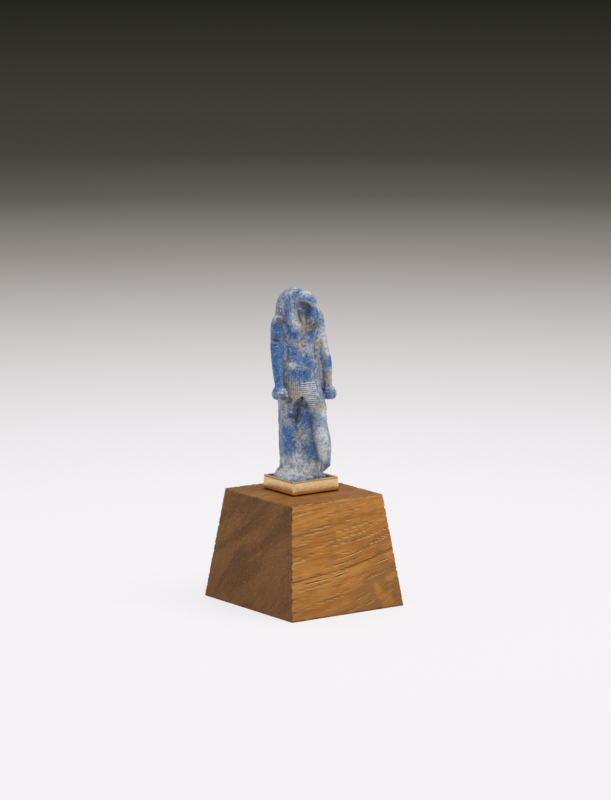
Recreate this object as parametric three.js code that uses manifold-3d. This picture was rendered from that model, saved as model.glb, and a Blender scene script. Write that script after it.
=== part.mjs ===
// A small lapis lazuli figure of a striding ibis-headed god, set in a gold tray on a wooden block.
// Millimetres, +Z up. The origin is the middle of the block's underside, and the figure faces -Y.
import * as THREE from "three";
import { mergeVertices } from "three/addons/utils/BufferGeometryUtils.js";
import Module from "manifold-3d";

const wasm = await Module();
wasm.setup();

// The figure: its height from the plinth's top to the crown, and how far it stands off upright
const FIGURE_HEIGHT = 27.6;
const LEAN_BACK = 1.2;
const LEAN_TO_ITS_RIGHT = 1.2;

// The plinth that is carved in one with the figure, and the room round it in the tray
const PLINTH_WIDTH = 6.0;
const PLINTH_DEPTH = 5.2;
const PLINTH_ABOVE_RIM = 0.3;
const ROOM_LEFT = 0.08;
const ROOM_RIGHT = 1.3;
const ROOM_FRONT = 0.5;
const ROOM_BACK = 1.3;

// The gold tray
const TRAY_HEIGHT = 2.1;
const TRAY_WALL = 0.35;
const TRAY_FLOOR = 0.35;
const TRAY_FOOT_ROUNDING = 0.28;

// The wooden block: what its top shows round the tray, how far its sides run out, and its height
const MARGIN_LEFT = 4.43;
const MARGIN_RIGHT = 3.65;
const MARGIN_FRONT = 5.9;
const MARGIN_BACK = 3.4;
const FLARE_SIDE = 1.9;
const FLARE_FRONT = 2.7;
const BLOCK_HEIGHT = 16.3;
const BLOCK_EDGE_WEAR = 0.12;

// Sizes that follow from those
const TRAY_WIDTH = PLINTH_WIDTH + ROOM_LEFT + ROOM_RIGHT + 2 * TRAY_WALL;
const TRAY_DEPTH = PLINTH_DEPTH + ROOM_FRONT + ROOM_BACK + 2 * TRAY_WALL;
const BLOCK_TOP_WIDTH = TRAY_WIDTH + MARGIN_LEFT + MARGIN_RIGHT;
const BLOCK_TOP_DEPTH = TRAY_DEPTH + MARGIN_FRONT + MARGIN_BACK;
const TRAY_LEFT = MARGIN_LEFT - BLOCK_TOP_WIDTH / 2;
const TRAY_FRONT = MARGIN_FRONT - BLOCK_TOP_DEPTH / 2;
const PLINTH_LEFT = TRAY_LEFT + TRAY_WALL + ROOM_LEFT;
const PLINTH_FRONT = TRAY_FRONT + TRAY_WALL + ROOM_FRONT;
const PLINTH_HEIGHT = TRAY_HEIGHT - TRAY_FLOOR + PLINTH_ABOVE_RIM;
const PLINTH_TOP = BLOCK_HEIGHT + TRAY_FLOOR + PLINTH_HEIGHT;

// The figure is carved in hundredths of its own height, from the middle of the plinth's top
const SHARE = FIGURE_HEIGHT / 100;
const PLINTH_HALF_WIDTH = PLINTH_WIDTH / 2 / SHARE;
const PLINTH_HALF_DEPTH = PLINTH_DEPTH / 2 / SHARE;

const { smoothstep, degToRad: radians } = THREE.MathUtils;

// Solids: a closed geometry becomes one, and one becomes a geometry again
function merged(geometry, tolerance = 1e-5) {
  const bare = geometry.clone();
  bare.deleteAttribute("normal");
  bare.deleteAttribute("uv");
  return mergeVertices(bare, tolerance);
}

function solid(geometry) {
  const closed = merged(geometry);
  return new wasm.Manifold(
    new wasm.Mesh({
      numProp: 3,
      vertProperties: closed.getAttribute("position").array,
      triVerts: new Uint32Array(closed.index.array),
    }),
  );
}

function geometryOf(made) {
  const mesh = made.getMesh();
  const geometry = new THREE.BufferGeometry();
  geometry.setAttribute("position", new THREE.BufferAttribute(mesh.vertProperties, 3));
  geometry.setIndex(new THREE.BufferAttribute(mesh.triVerts, 1));
  geometry.computeVertexNormals();
  return geometry;
}

function joined(geometries) {
  return geometries.map(solid).reduce((all, next) => all.add(next));
}

// Moves each vertex of a geometry by a function of its place
function reshape(geometry, move) {
  const position = geometry.getAttribute("position");
  const p = new THREE.Vector3();
  for (let i = 0; i < position.count; i++) {
    p.fromBufferAttribute(position, i);
    move(p);
    position.setXYZ(i, p.x, p.y, p.z);
  }
  return geometry;
}

// A smooth run through a limb's stations: each named value follows its own curve
function smoothRun(stations) {
  const curves = Object.keys(stations[0]).map((key) => [
    key,
    new THREE.SplineCurve(stations.map((station, i) => new THREE.Vector2(i, station[key]))),
  ]);
  return (share) =>
    Object.fromEntries(curves.map(([key, curve]) => [key, curve.getPoint(share).y]));
}

// A limb is a cylinder reshaped ring by ring, from its low end to its high end.
// A station says where the ring's middle is (x, y, z), its half width, its reach to the front and to the
// back, how square it is (2 is an ellipse) and its tilt. A tilt of -90 lays the limb along Y, its front up.
// The carving gives how far the skin stands out of the ring at a place, seen from angle 0, the front.
function limb(stations, sides, rings, carving = () => 0) {
  const at = smoothRun(stations);
  const rounded = (value, square) =>
    Math.abs(value) < 1e-9 ? 0 : Math.sign(value) * Math.abs(value) ** (2 / square);
  return reshape(new THREE.CylinderGeometry(1, 1, 1, sides, rings), (p) => {
    const angle = Math.atan2(p.x, p.z);
    const reach = Math.hypot(p.x, p.z);
    const s = at(p.y + 0.5);
    const { x = 0, y = 0, square = 2, tilt = 0 } = s;
    const across = rounded(Math.sin(angle), square) * s.half;
    const along = -rounded(Math.cos(angle), square) * (Math.cos(angle) > 0 ? s.front : s.back);
    const turn = radians(tilt);
    const place = (out) => {
      const grown = 1 + out / Math.max(Math.hypot(across, along), 1e-6);
      const depth = along * grown * reach;
      p.set(x + across * grown * reach, y + depth * Math.cos(turn), s.z + depth * Math.sin(turn));
      return p;
    };
    place(carving(place(0), angle) * reach);
  });
}

// The sum of soft swellings at a place: each has a middle, a size along each axis and a height
function swelling(swellings, p) {
  return swellings.reduce((sum, { middle, size, height }) => {
    const far =
      ((p.x - middle[0]) / size[0]) ** 2 +
      ((p.y - middle[1]) / size[1]) ** 2 +
      ((p.z - middle[2]) / size[2]) ** 2;
    return sum + height * Math.exp(-far);
  }, 0);
}

// A block of stone between two corners
function slab(low, high) {
  return new THREE.BoxGeometry(high[0] - low[0], high[1] - low[1], high[2] - low[2]).translate(
    (low[0] + high[0]) / 2,
    (low[1] + high[1]) / 2,
    (low[2] + high[2]) / 2,
  );
}

// A rounded lump, for a part of the head or for stone that has broken out
function lump(middle, size, detail = 2) {
  const ball = merged(new THREE.IcosahedronGeometry(1, detail), 1e-3);
  return ball.scale(...size).translate(...middle);
}

// The same limb on the other side of the body, its faces turned back outwards
function mirrored(geometry) {
  const turned = merged(geometry).scale(-1, 1, 1);
  turned.setIndex([...turned.index.array].reverse());
  return turned;
}

// Trunk, from the hips inside the kilt to the neck inside the wig
const CHEST_AND_BELLY = [
  { middle: [-5.4, -8, 78], size: [4.8, 6, 4.8], height: 1.6 },
  { middle: [5.4, -8, 78], size: [4.8, 6, 4.8], height: 1.6 },
  { middle: [0, -9, 66.5], size: [4.6, 5, 6], height: 0.7 },
  { middle: [0, -9.5, 63.6], size: [1.9, 4, 2.0], height: -0.9 },
  { middle: [0, -8, 73], size: [1.6, 4, 6], height: -0.5 },
];
function trunk() {
  const stations = [
    { z: 46, y: -2.5, half: 10.2, front: 6.6, back: 6, square: 2.4 },
    { z: 54, y: -2.5, half: 10.2, front: 6.7, back: 6, square: 2.4 },
    { z: 61, y: -2.5, half: 9.2, front: 6.3, back: 6, square: 2.3 },
    { z: 67, y: -2.4, half: 9.0, front: 5.7, back: 6, square: 2.3 },
    { z: 73, y: -2.2, half: 10.4, front: 5.0, back: 6, square: 2.4 },
    { z: 79, y: -1.8, half: 12.4, front: 5.2, back: 6, square: 2.6 },
    { z: 84, y: -1.4, half: 12.4, front: 4.6, back: 6, square: 2.5 },
    { z: 88, y: -1.2, half: 6.4, front: 3.8, back: 5, square: 2 },
  ];
  return limb(stations, 28, 15, (p) => swelling(CHEST_AND_BELLY, p));
}

// Arm, from the shoulder down to the wrist, and its closed hand
function arm() {
  const stations = [
    { z: 46.5, x: 15.1, y: -6.0, half: 2.1, front: 2.4, back: 2.5, square: 2.2 },
    { z: 52.5, x: 15.0, y: -5.2, half: 2.2, front: 2.7, back: 2.8, square: 2.2 },
    { z: 59, x: 14.8, y: -4.4, half: 2.8, front: 3.3, back: 3.3, square: 2.2 },
    { z: 65, x: 14.3, y: -3.4, half: 2.9, front: 3.5, back: 3.7, square: 2.2 },
    { z: 72, x: 13.7, y: -2.4, half: 3.0, front: 3.7, back: 4.1, square: 2.2 },
    { z: 79, x: 13.0, y: -1.4, half: 3.4, front: 4.2, back: 4.4, square: 2.2 },
    { z: 84.5, x: 12.0, y: -1.2, half: 3.2, front: 3.6, back: 4.0, square: 2.1 },
    { z: 86.3, x: 11.5, y: -1.2, half: 1.7, front: 2.0, back: 2.4, square: 2 },
  ];
  return limb(stations, 12, 11);
}
const FINGERS = 4;
const FIST_LOW = 41.2;
const FIST_HIGH = 48.0;
function fist() {
  const stations = [
    { z: FIST_LOW, x: 15.3, y: -6.6, half: 2.4, front: 3.2, back: 3.0, square: 2.8 },
    { z: 42.4, x: 15.3, y: -6.6, half: 3.4, front: 4.4, back: 4.1, square: 3 },
    { z: 44.8, x: 15.3, y: -6.5, half: 3.6, front: 4.6, back: 4.2, square: 3 },
    { z: 47, x: 15.2, y: -6.3, half: 3.0, front: 3.6, back: 3.4, square: 2.6 },
    { z: FIST_HIGH, x: 15.1, y: -6.1, half: 2.3, front: 2.6, back: 2.6, square: 2.2 },
  ];
  const knuckle = (FIST_HIGH - FIST_LOW) / FINGERS;
  const between = (p) => -0.24 * Math.cos(((p.z - FIST_LOW) / knuckle) * 2 * Math.PI);
  return limb(stations, 14, 3 * FINGERS, between);
}
function thumb() {
  const stations = [
    { z: 42.0, x: 14.6, y: -10.8, half: 0.9, front: 0.7, back: 1.4 },
    { z: 44.2, x: 14.4, y: -11.1, half: 1.2, front: 0.9, back: 1.6 },
    { z: 47.4, x: 14.6, y: -9.2, half: 1.0, front: 0.8, back: 1.6 },
  ];
  return limb(stations, 8, 4);
}

// Stone left standing between each arm and the body, thinner by the right arm
function stoneByArm(outerSide, back) {
  return slab([7, -5.2, 43], [outerSide, back, 82]);
}

// The two arms are alike, but the left is held further out, with its shoulder higher and its hand lower
const LEFT_ARM_OUT = 1.0;
const LEFT_FOREARM_OUT = 0.5;
const LEFT_SHOULDER_RAISED = 0.9;
const LEFT_HAND_OUT = 0.4;
const LEFT_HAND_LOWERED = 1.9;
const RIGHT_SHOULDER_IN = 1.0;
const RIGHT_HAND_RAISED = 1.5;
function leftArm() {
  return [arm(), fist(), thumb(), stoneByArm(14.4, 2.6)].map((part) =>
    reshape(part, (p) => {
      const forearm = 1 - smoothstep(p.z, 60, 68);
      const armOut = LEFT_ARM_OUT + LEFT_FOREARM_OUT * forearm;
      p.x += THREE.MathUtils.lerp(LEFT_HAND_OUT, armOut, smoothstep(p.z, 44, 53));
      p.z += LEFT_SHOULDER_RAISED * smoothstep(p.z, 78, 85);
      p.z -= LEFT_HAND_LOWERED * (1 - smoothstep(p.z, 46, 64));
    }),
  );
}
function rightArm() {
  return [arm(), fist(), thumb(), stoneByArm(13, 1.2)].map(mirrored).map((part) =>
    reshape(part, (p) => {
      p.x += RIGHT_SHOULDER_IN * smoothstep(p.z, 71, 77);
      p.z += RIGHT_HAND_RAISED * (1 - smoothstep(p.z, 46, 66));
    }),
  );
}

// Pleated kilt, drawn forward over the striding thigh, its hem rising to the middle of the front
const KILT_TOP = 61.8;
const KILT_HEM = 40.0;
const HEM_RISE = 5.0;
const BELT_DIP = 3.2;
const KILT_PLEATS = 26;
const PLEAT_DEPTH = 0.28;
const BELT_HEIGHT = 2.5;
const LEFT_THIGH_UNDER_KILT = [{ middle: [6.5, -10.5, 39], size: [5.5, 6, 9], height: 2.6 }];
const inFront = (p) => (p.y < 0 ? Math.exp(-((p.x / 6) ** 2)) : 0);
function kilt() {
  const stations = [
    { z: KILT_HEM, x: 0.8, y: -3.4, half: 11.2, front: 7.4, back: 7, square: 2.5 },
    { z: 45, x: 0.3, y: -3.1, half: 11.2, front: 7.2, back: 7, square: 2.5 },
    { z: 51, x: 0, y: -2.8, half: 11.0, front: 7.2, back: 7, square: 2.5 },
    { z: 57, x: 0, y: -2.6, half: 10.4, front: 7.2, back: 7, square: 2.4 },
    { z: KILT_TOP, x: 0, y: -2.5, half: 9.7, front: 6.9, back: 7, square: 2.3 },
  ];
  const pleats = (p, angle) => {
    const belted = smoothstep(p.z, KILT_TOP - 2 * BELT_HEIGHT, KILT_TOP - BELT_HEIGHT);
    const wave = Math.cos(KILT_PLEATS * angle) * PLEAT_DEPTH * (1 - belted);
    return wave + swelling(LEFT_THIGH_UNDER_KILT, p);
  };
  return reshape(limb(stations, 2 * KILT_PLEATS, 7, pleats), (p) => {
    const low = 1 - smoothstep(p.z, KILT_HEM, KILT_HEM + 14);
    const high = smoothstep(p.z, KILT_TOP - 6, KILT_TOP);
    p.z += inFront(p) * (HEM_RISE * low - BELT_DIP * high);
  });
}
function belt() {
  const girdle = (z, grown) => ({
    z, y: -2.5, half: 9.9 + grown, front: 7.0 + grown, back: 7 + grown, square: 2.3,
  });
  const stations = [girdle(KILT_TOP - BELT_HEIGHT, 1.0), girdle(KILT_TOP, 0.9)];
  return reshape(limb(stations, 28, 1), (p) => {
    p.z -= BELT_DIP * inFront(p);
  });
}

// The tab that hangs between the ends of the kilt, ribbed from side to side. It narrows downwards and
// faces a little to the figure's right, as the striding leg draws the cloth forward on the left.
const TAB_TOP = 50.8;
const TAB_FOOT = 37.2;
const TAB_TURN = 21;
const TAB_RIBS = 13;
const RIB_DEPTH = 0.22;
function tab() {
  const stations = [
    { z: TAB_FOOT, x: 1.8, half: 1.5, front: 0.9, back: 4, square: 5 },
    { z: 41, x: 0.9, half: 2.7, front: 1.2, back: 4, square: 5 },
    { z: 45, x: -0.1, half: 4.1, front: 1.4, back: 4, square: 5 },
    { z: 48.5, x: -0.5, half: 4.7, front: 1.2, back: 4, square: 4 },
    { z: TAB_TOP, x: -0.3, half: 3.7, front: 0.5, back: 4, square: 3 },
  ];
  const rib = (TAB_TOP - TAB_FOOT) / TAB_RIBS;
  const ribs = (p) => (p.y < 0 ? -RIB_DEPTH * Math.cos(((p.z - TAB_FOOT) / rib) * 2 * Math.PI) : 0);
  const hung = limb(stations, 12, 2 * TAB_RIBS, ribs).rotateZ(radians(-TAB_TURN));
  return hung.translate(0.2, -11.0, 0);
}

// Legs: the right one stands under the body, and the left one strides forward
const RIGHT_LEG_X = -5.5;
const LEFT_LEG_X = 5.6;
const SHAPE_OF_A_LEG = [
  { middle: [0, -6, 31.5], size: [4, 5, 3], height: 0.5 },
  { middle: [0, 3, 21], size: [5, 5, 6], height: 0.6 },
];
function leg(stations, x) {
  return limb(stations, 14, 11, (p) =>
    swelling(SHAPE_OF_A_LEG, new THREE.Vector3(p.x - x, p.y, p.z)),
  );
}
function rightLeg() {
  const x = RIGHT_LEG_X;
  const stations = [
    { z: -1, x, y: 0.6, half: 3.6, front: 3.4, back: 4 },
    { z: 4.5, x, y: 0.4, half: 3.5, front: 3.0, back: 4 },
    { z: 12, x, y: 0.2, half: 4.2, front: 3.6, back: 4.5 },
    { z: 21, x, y: -0.2, half: 4.9, front: 4.4, back: 5 },
    { z: 30, x, y: -0.8, half: 4.7, front: 4.6, back: 5 },
    { z: 38, x, y: -1.6, half: 5.1, front: 5.4, back: 5 },
    { z: 46, x, y: -2.2, half: 5.2, front: 5.8, back: 5 },
  ];
  return leg(stations, x);
}
function leftLeg() {
  const x = LEFT_LEG_X;
  const stations = [
    { z: 2, x: x + 0.9, y: -14.9, half: 2.4, front: 3.0, back: 3.8 },
    { z: 7.5, x: x + 1.1, y: -14.5, half: 2.7, front: 3.3, back: 4.0 },
    { z: 14, x: x + 1.0, y: -13.8, half: 3.8, front: 4.7, back: 5.2 },
    { z: 20.5, x: x + 0.8, y: -12.9, half: 4.2, front: 5.2, back: 5.4 },
    { z: 27, x: x + 0.7, y: -11.3, half: 4.0, front: 4.8, back: 5.3 },
    { z: 32, x: x + 0.8, y: -10.0, half: 4.2, front: 4.6, back: 5.3 },
    { z: 38, x: x + 0.4, y: -8.4, half: 5.8, front: 5.3, back: 6 },
    { z: 46, x, y: -5.5, half: 5.2, front: 5.4, back: 6 },
  ];
  return leg(stations, x);
}

// Right foot, laid from the toes back to the heel
function rightFoot() {
  const x = RIGHT_LEG_X;
  const tilt = -90;
  const stations = [
    { y: -PLINTH_HALF_DEPTH, x: x - 0.2, z: 0.2, half: 3.0, front: 1.4, back: 1, square: 2.6, tilt },
    { y: -7.6, x: x - 0.2, z: 0.3, half: 3.5, front: 1.9, back: 1, square: 2.5, tilt },
    { y: -4.4, x: x - 0.1, z: 0.5, half: 3.2, front: 3.0, back: 1, square: 2.2, tilt },
    { y: -1.0, x, z: 0.6, half: 2.9, front: 5.0, back: 1, square: 2, tilt },
    { y: 3.4, x, z: 0.6, half: 2.6, front: 3.2, back: 1, square: 2, tilt },
  ];
  return limb(stations, 14, 8);
}

// Stone left between the legs: a web behind the striding leg, a sloping wall behind both, a filling
// whose face turns from the front of one leg to the side of the other, the stump where the left foot
// was, and the rough slope that runs down to the plinth's edges
const UNDER_FOOT = -0.5;
const WEB_TOP = 44;
const WALL_TOP = 42;
const WALL_LEANS_BACK = 3.4;
const FILLING_TOP = 39;
const FILLING_TOP_AT_BACK = 45;
const FILLING_LEANS_BACK = 1.4;
const FILLING_TURNS_FORWARD = 5.2;
const SLOPE_HEIGHT = 3.2;
const SLOPE_TOP = { left: -8.0, right: 4.2, front: -4.6 };
function stoneByLegs() {
  const web = reshape(slab([3.2, -9.6, UNDER_FOOT], [7.6, 4, WEB_TOP]), (p) => {
    if (p.y < 0 && p.z < 0) p.y = -8.4;
  });
  const wall = reshape(slab([-6.2, -5.2, UNDER_FOOT], [6.6, 5, WALL_TOP]), (p) => {
    if (p.y < 0 && p.z > 0) p.y += WALL_LEANS_BACK;
  });
  const filling = reshape(slab([-5.0, -5.6, UNDER_FOOT], [4.4, 2, FILLING_TOP]), (p) => {
    if (p.y > 0 && p.z > 0) p.z = FILLING_TOP_AT_BACK;
    if (p.y < 0 && p.x > 0) p.y -= FILLING_TURNS_FORWARD;
    if (p.y < 0 && p.z > 0) p.y += FILLING_LEANS_BACK;
  });
  const slope = reshape(slab([-10.8, -8.6, UNDER_FOOT], [8.4, PLINTH_HALF_DEPTH, SLOPE_HEIGHT]), (p) => {
    if (p.z < SLOPE_HEIGHT) return;
    p.x = p.x < 0 ? SLOPE_TOP.left : SLOPE_TOP.right;
    if (p.y < 0) p.y = SLOPE_TOP.front;
  });
  return [web, wall, filling, slope, lump([4.6, -6.2, 0], [6.2, 4.0, 4.4], 1)];
}

// Back pillar, flat behind, from the plinth up into the wig
const PILLAR_HALF_WIDTH = 6.25;
const PILLAR_BACK = 9.4;
const PILLAR_TOP = 86;
function backPillar() {
  return slab([-PILLAR_HALF_WIDTH, 1.5, -0.8], [PILLAR_HALF_WIDTH, PILLAR_BACK, PILLAR_TOP]);
}

// Wig: a dome over the head that falls behind the shoulders, with a lappet down each side of the chest
const WIG_MIDDLE = -0.6;
const WIG_LOCKS = 24;
const LOCK_DEPTH = 0.3;
function wigDome() {
  const y = WIG_MIDDLE;
  const stations = [
    { z: 79.5, y: y + 1.4, half: 10.0, front: 6.2, back: 8.7, square: 2.4 },
    { z: 83.5, y: y + 0.6, half: 10.2, front: 7.8, back: 9.4, square: 2.3 },
    { z: 87.5, y, half: 10.0, front: 9.2, back: 10.0, square: 2.1 },
    { z: 91.5, y, half: 9.6, front: 9.6, back: 9.8, square: 2 },
    { z: 94.6, y, half: 8.5, front: 8.6, back: 8.8, square: 2 },
    { z: 97.2, y, half: 6.4, front: 6.4, back: 6.6, square: 2 },
    { z: 99.1, y, half: 3.6, front: 3.6, back: 3.8, square: 2 },
    { z: 99.9, y, half: 1.0, front: 1.0, back: 1.0, square: 2 },
  ];
  const locks = (p, angle) => {
    const crown = smoothstep(p.z, 93, 99);
    return LOCK_DEPTH * Math.cos(WIG_LOCKS * angle) * (1 - crown);
  };
  return limb(stations, 2 * WIG_LOCKS, 10, locks);
}
const LAPPET_LOCKS = 5;
function lappet() {
  const stations = [
    { z: 77.6, x: 4.8, y: -7.4, half: 3.1, front: 1.8, back: 3, square: 3.6 },
    { z: 80.8, x: 5.3, y: -7.6, half: 3.6, front: 2.2, back: 3, square: 3.6 },
    { z: 85.0, x: 6.4, y: -7.0, half: 3.6, front: 2.6, back: 3, square: 3.2 },
    { z: 89, x: 6.9, y: -5.4, half: 3.1, front: 2.6, back: 3, square: 2.8 },
    { z: 92.5, x: 6.3, y: -3.7, half: 2.3, front: 2.2, back: 3, square: 2.4 },
    { z: 95.5, x: 4.6, y: -2.0, half: 1.4, front: 1.2, back: 3, square: 2.2 },
  ];
  const locks = (p, angle) =>
    Math.cos(angle) > 0.2 ? 0.2 * Math.cos(LAPPET_LOCKS * Math.PI * Math.sin(angle)) : 0;
  return limb(stations, 20, 8, locks);
}

// Ibis head: the skull in the wig's opening, an eye on each side, and the stump of the long beak
function ibisHead() {
  const skull = lump([0, -4.8, 92.8], [4.8, 7.4, 6.4], 2);
  const beakStations = [
    { z: 93.2, y: -18.6, half: 2.0, front: 2.3, back: 2.0, tilt: -62 },
    { z: 94.6, y: -15.8, half: 2.6, front: 2.7, back: 2.3, tilt: -67 },
    { z: 95.5, y: -12.8, half: 3.2, front: 3.0, back: 2.4, tilt: -75 },
    { z: 95.5, y: -9.4, half: 4.0, front: 3.7, back: 3.2, tilt: -84 },
    { z: 94.6, y: -6.0, half: 4.5, front: 4.6, back: 4.4, tilt: -90 },
  ];
  const eye = lump([3.5, -11.6, 96.4], [0.8, 1.3, 0.8], 1);
  return [skull, limb(beakStations, 14, 9), eye, mirrored(eye)];
}
function throatAndNeck() {
  return limb(
    [
      { z: 76, y: -3.4, half: 4.4, front: 2.8, back: 3 },
      { z: 82, y: -3.6, half: 3.9, front: 3.2, back: 3 },
      { z: 90, y: -4.4, half: 3.9, front: 4.0, back: 3 },
    ],
    16,
    4,
  );
}

// Scar down the chest where the beak's tip lay
function beakScar() {
  return limb(
    [
      { z: 75, x: 0.2, y: -5.6, half: 0.8, front: 1.6, back: 2 },
      { z: 79, x: 0.1, y: -6.2, half: 1.5, front: 2.6, back: 2 },
      { z: 83, x: 0, y: -6.2, half: 1.8, front: 3.0, back: 2 },
      { z: 88, x: 0, y: -5.4, half: 1.5, front: 2.0, back: 2 },
    ],
    10,
    5,
  );
}

// What is hollowed out under the head, and what has broken away: the left foot with the front of the
// plinth below it, the beak's tip, and a corner of the plinth
function losses() {
  return [
    lump([0.3, -14.2, 88.2], [3.6, 6.4, 4.6], 2),
    lump([0.2, -11.6, 89.6], [6.0, 4.6, 4.4], 2),
    lump([8.4, -21.0, -4.4], [9.4, 11.4, 11.4], 2),
    lump([0.4, -21.4, 92.2], [4.0, 3.2, 4.6], 1),
    lump([12.2, -9.8, 1.4], [3.6, 4.4, 2.6], 1),
  ];
}

// The figure in one piece, before it is sized and stood on its plinth
function carvedFigure() {
  const wig = solid(wigDome()).add(solid(lappet())).add(solid(mirrored(lappet())));
  const opening = solid(lump([0, -11.6, 88.6], [4.6, 6.4, 9.2], 2));
  const head = wig.subtract(opening).add(joined([...ibisHead(), throatAndNeck()]));
  const rest = joined([
    trunk(), ...leftArm(), ...rightArm(), kilt(), belt(), tab(), rightLeg(), leftLeg(),
    rightFoot(), ...stoneByLegs(), backPillar(), beakScar(),
  ]);
  return head.add(rest);
}

function plinth() {
  const depth = PLINTH_HEIGHT / SHARE;
  return slab(
    [-PLINTH_HALF_WIDTH, -PLINTH_HALF_DEPTH, -depth],
    [PLINTH_HALF_WIDTH, PLINTH_HALF_DEPTH, 0],
  );
}

function figureGeometry() {
  const lean = new THREE.Matrix4().makeRotationFromEuler(
    new THREE.Euler(radians(-LEAN_BACK), radians(-LEAN_TO_ITS_RIGHT), 0),
  );
  const leaning = solid(geometryOf(carvedFigure()).applyMatrix4(lean));
  const underPlinthTop = solid(slab([-40, -40, -40], [40, 40, -0.3]));
  const whole = leaning.subtract(underPlinthTop).add(solid(plinth()));
  const broken = losses().reduce((left, loss) => left.subtract(solid(loss)), whole);
  const middle = [PLINTH_LEFT + PLINTH_WIDTH / 2, PLINTH_FRONT + PLINTH_DEPTH / 2, PLINTH_TOP];
  return geometryOf(broken).scale(SHARE, SHARE, SHARE).translate(...middle);
}

// Gold tray: an open box whose lower edges are rounded
function trayGeometry() {
  const layers = 4;
  const outside = new THREE.BoxGeometry(1, 1, 1, 1, 1, layers);
  const shell = reshape(outside, (p) => {
    const layer = Math.round((p.z + 0.5) * layers);
    const quarter = (Math.min(layer, layers - 1) / (layers - 1)) * (Math.PI / 2);
    const inset = TRAY_FOOT_ROUNDING * (1 - Math.sin(quarter));
    p.x *= TRAY_WIDTH - 2 * inset;
    p.y *= TRAY_DEPTH - 2 * inset;
    p.z = layer === layers ? TRAY_HEIGHT : TRAY_FOOT_ROUNDING * (1 - Math.cos(quarter));
  });
  const inside = slab(
    [TRAY_WALL - TRAY_WIDTH / 2, TRAY_WALL - TRAY_DEPTH / 2, TRAY_FLOOR],
    [TRAY_WIDTH / 2 - TRAY_WALL, TRAY_DEPTH / 2 - TRAY_WALL, TRAY_HEIGHT + 1],
  );
  return geometryOf(solid(shell).subtract(solid(inside)));
}

// Wooden block: a box drawn in to its top, its edges worn off
function blockGeometry() {
  const wear = BLOCK_EDGE_WEAR;
  const footWidth = BLOCK_TOP_WIDTH + 2 * FLARE_SIDE;
  const footDepth = BLOCK_TOP_DEPTH + 2 * FLARE_FRONT;
  const outline = (width, depth) => {
    const corners = [
      [width / 2 - wear, -depth / 2], [width / 2, -depth / 2 + wear],
      [width / 2, depth / 2 - wear], [width / 2 - wear, depth / 2],
      [-width / 2 + wear, depth / 2], [-width / 2, depth / 2 - wear],
      [-width / 2, -depth / 2 + wear], [-width / 2 + wear, -depth / 2],
    ];
    return new THREE.Shape(corners.map(([x, y]) => new THREE.Vector2(x, y)));
  };
  const block = new THREE.ExtrudeGeometry(outline(footWidth, footDepth), {
    depth: 1, steps: 3, bevelEnabled: false,
  });
  const levels = [0, wear, BLOCK_HEIGHT - wear, BLOCK_HEIGHT];
  return reshape(block, (p) => {
    const level = Math.round(p.z * 3);
    const share = levels[level] / BLOCK_HEIGHT;
    const inset = level === 0 || level === 3 ? wear : 0;
    p.x *= (THREE.MathUtils.lerp(footWidth, BLOCK_TOP_WIDTH, share) - 2 * inset) / footWidth;
    p.y *= (THREE.MathUtils.lerp(footDepth, BLOCK_TOP_DEPTH, share) - 2 * inset) / footDepth;
    p.z = levels[level];
  });
}

function named(name, geometry, colour, roughness, metalness) {
  const mesh = new THREE.Mesh(
    geometry,
    new THREE.MeshStandardMaterial({ color: colour, roughness, metalness }),
  );
  mesh.name = name;
  return mesh;
}

const figure = named("figure", figureGeometry(), 0x6d7f9b, 0.45, 0);
const tray = named("gold_tray", trayGeometry(), 0xcfa265, 0.25, 1);
tray.position.set(TRAY_LEFT + TRAY_WIDTH / 2, TRAY_FRONT + TRAY_DEPTH / 2, BLOCK_HEIGHT);
const block = named("wood_block", blockGeometry(), 0x8a5f38, 0.6, 0);

const group = new THREE.Group();
group.add(figure, tray, block);
export default group;
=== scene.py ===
# %% [markdown]
# # A small lapis lazuli figure on its stand
# The object is a carved amulet of a striding, ibis-headed god, about 28 mm tall, standing in a shallow
# gold tray on a tapered block of walnut. The solids already give every piece its size and its place.
# Here each piece gets the skin that a camera sees: chisel lines, wear, chips, bent gold and open grain.
# Everything is in metres, so a small constant for one millimetre keeps the numbers readable.

# %% Load the solids that everything is fitted to
import math

import bpy
import numpy as np
from mathutils import Matrix, Vector, noise


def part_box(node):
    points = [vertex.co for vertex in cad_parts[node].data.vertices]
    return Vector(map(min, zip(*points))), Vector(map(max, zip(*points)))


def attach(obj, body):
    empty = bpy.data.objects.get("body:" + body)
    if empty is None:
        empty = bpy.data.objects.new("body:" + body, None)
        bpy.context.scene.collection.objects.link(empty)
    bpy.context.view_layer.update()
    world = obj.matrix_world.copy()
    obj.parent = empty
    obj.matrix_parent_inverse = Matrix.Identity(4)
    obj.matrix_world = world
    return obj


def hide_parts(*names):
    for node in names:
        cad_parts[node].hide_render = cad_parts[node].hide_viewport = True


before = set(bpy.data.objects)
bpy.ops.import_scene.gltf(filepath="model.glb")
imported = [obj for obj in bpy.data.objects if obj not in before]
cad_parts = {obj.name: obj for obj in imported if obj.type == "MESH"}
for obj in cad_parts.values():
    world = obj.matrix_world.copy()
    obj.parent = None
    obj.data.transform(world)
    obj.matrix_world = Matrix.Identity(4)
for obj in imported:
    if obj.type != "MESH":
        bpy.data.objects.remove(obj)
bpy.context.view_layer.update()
MM = 0.001

# %% [markdown]
# The solids' boxes say where each piece is. A few more sizes come from the solids' own drawing: how thick
# the tray's wall is, how far the block tapers, and where the figure's middle line stands in the tray.
# The figure is drawn in hundredths of its own height, so its carving can be placed by shares of it.

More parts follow.
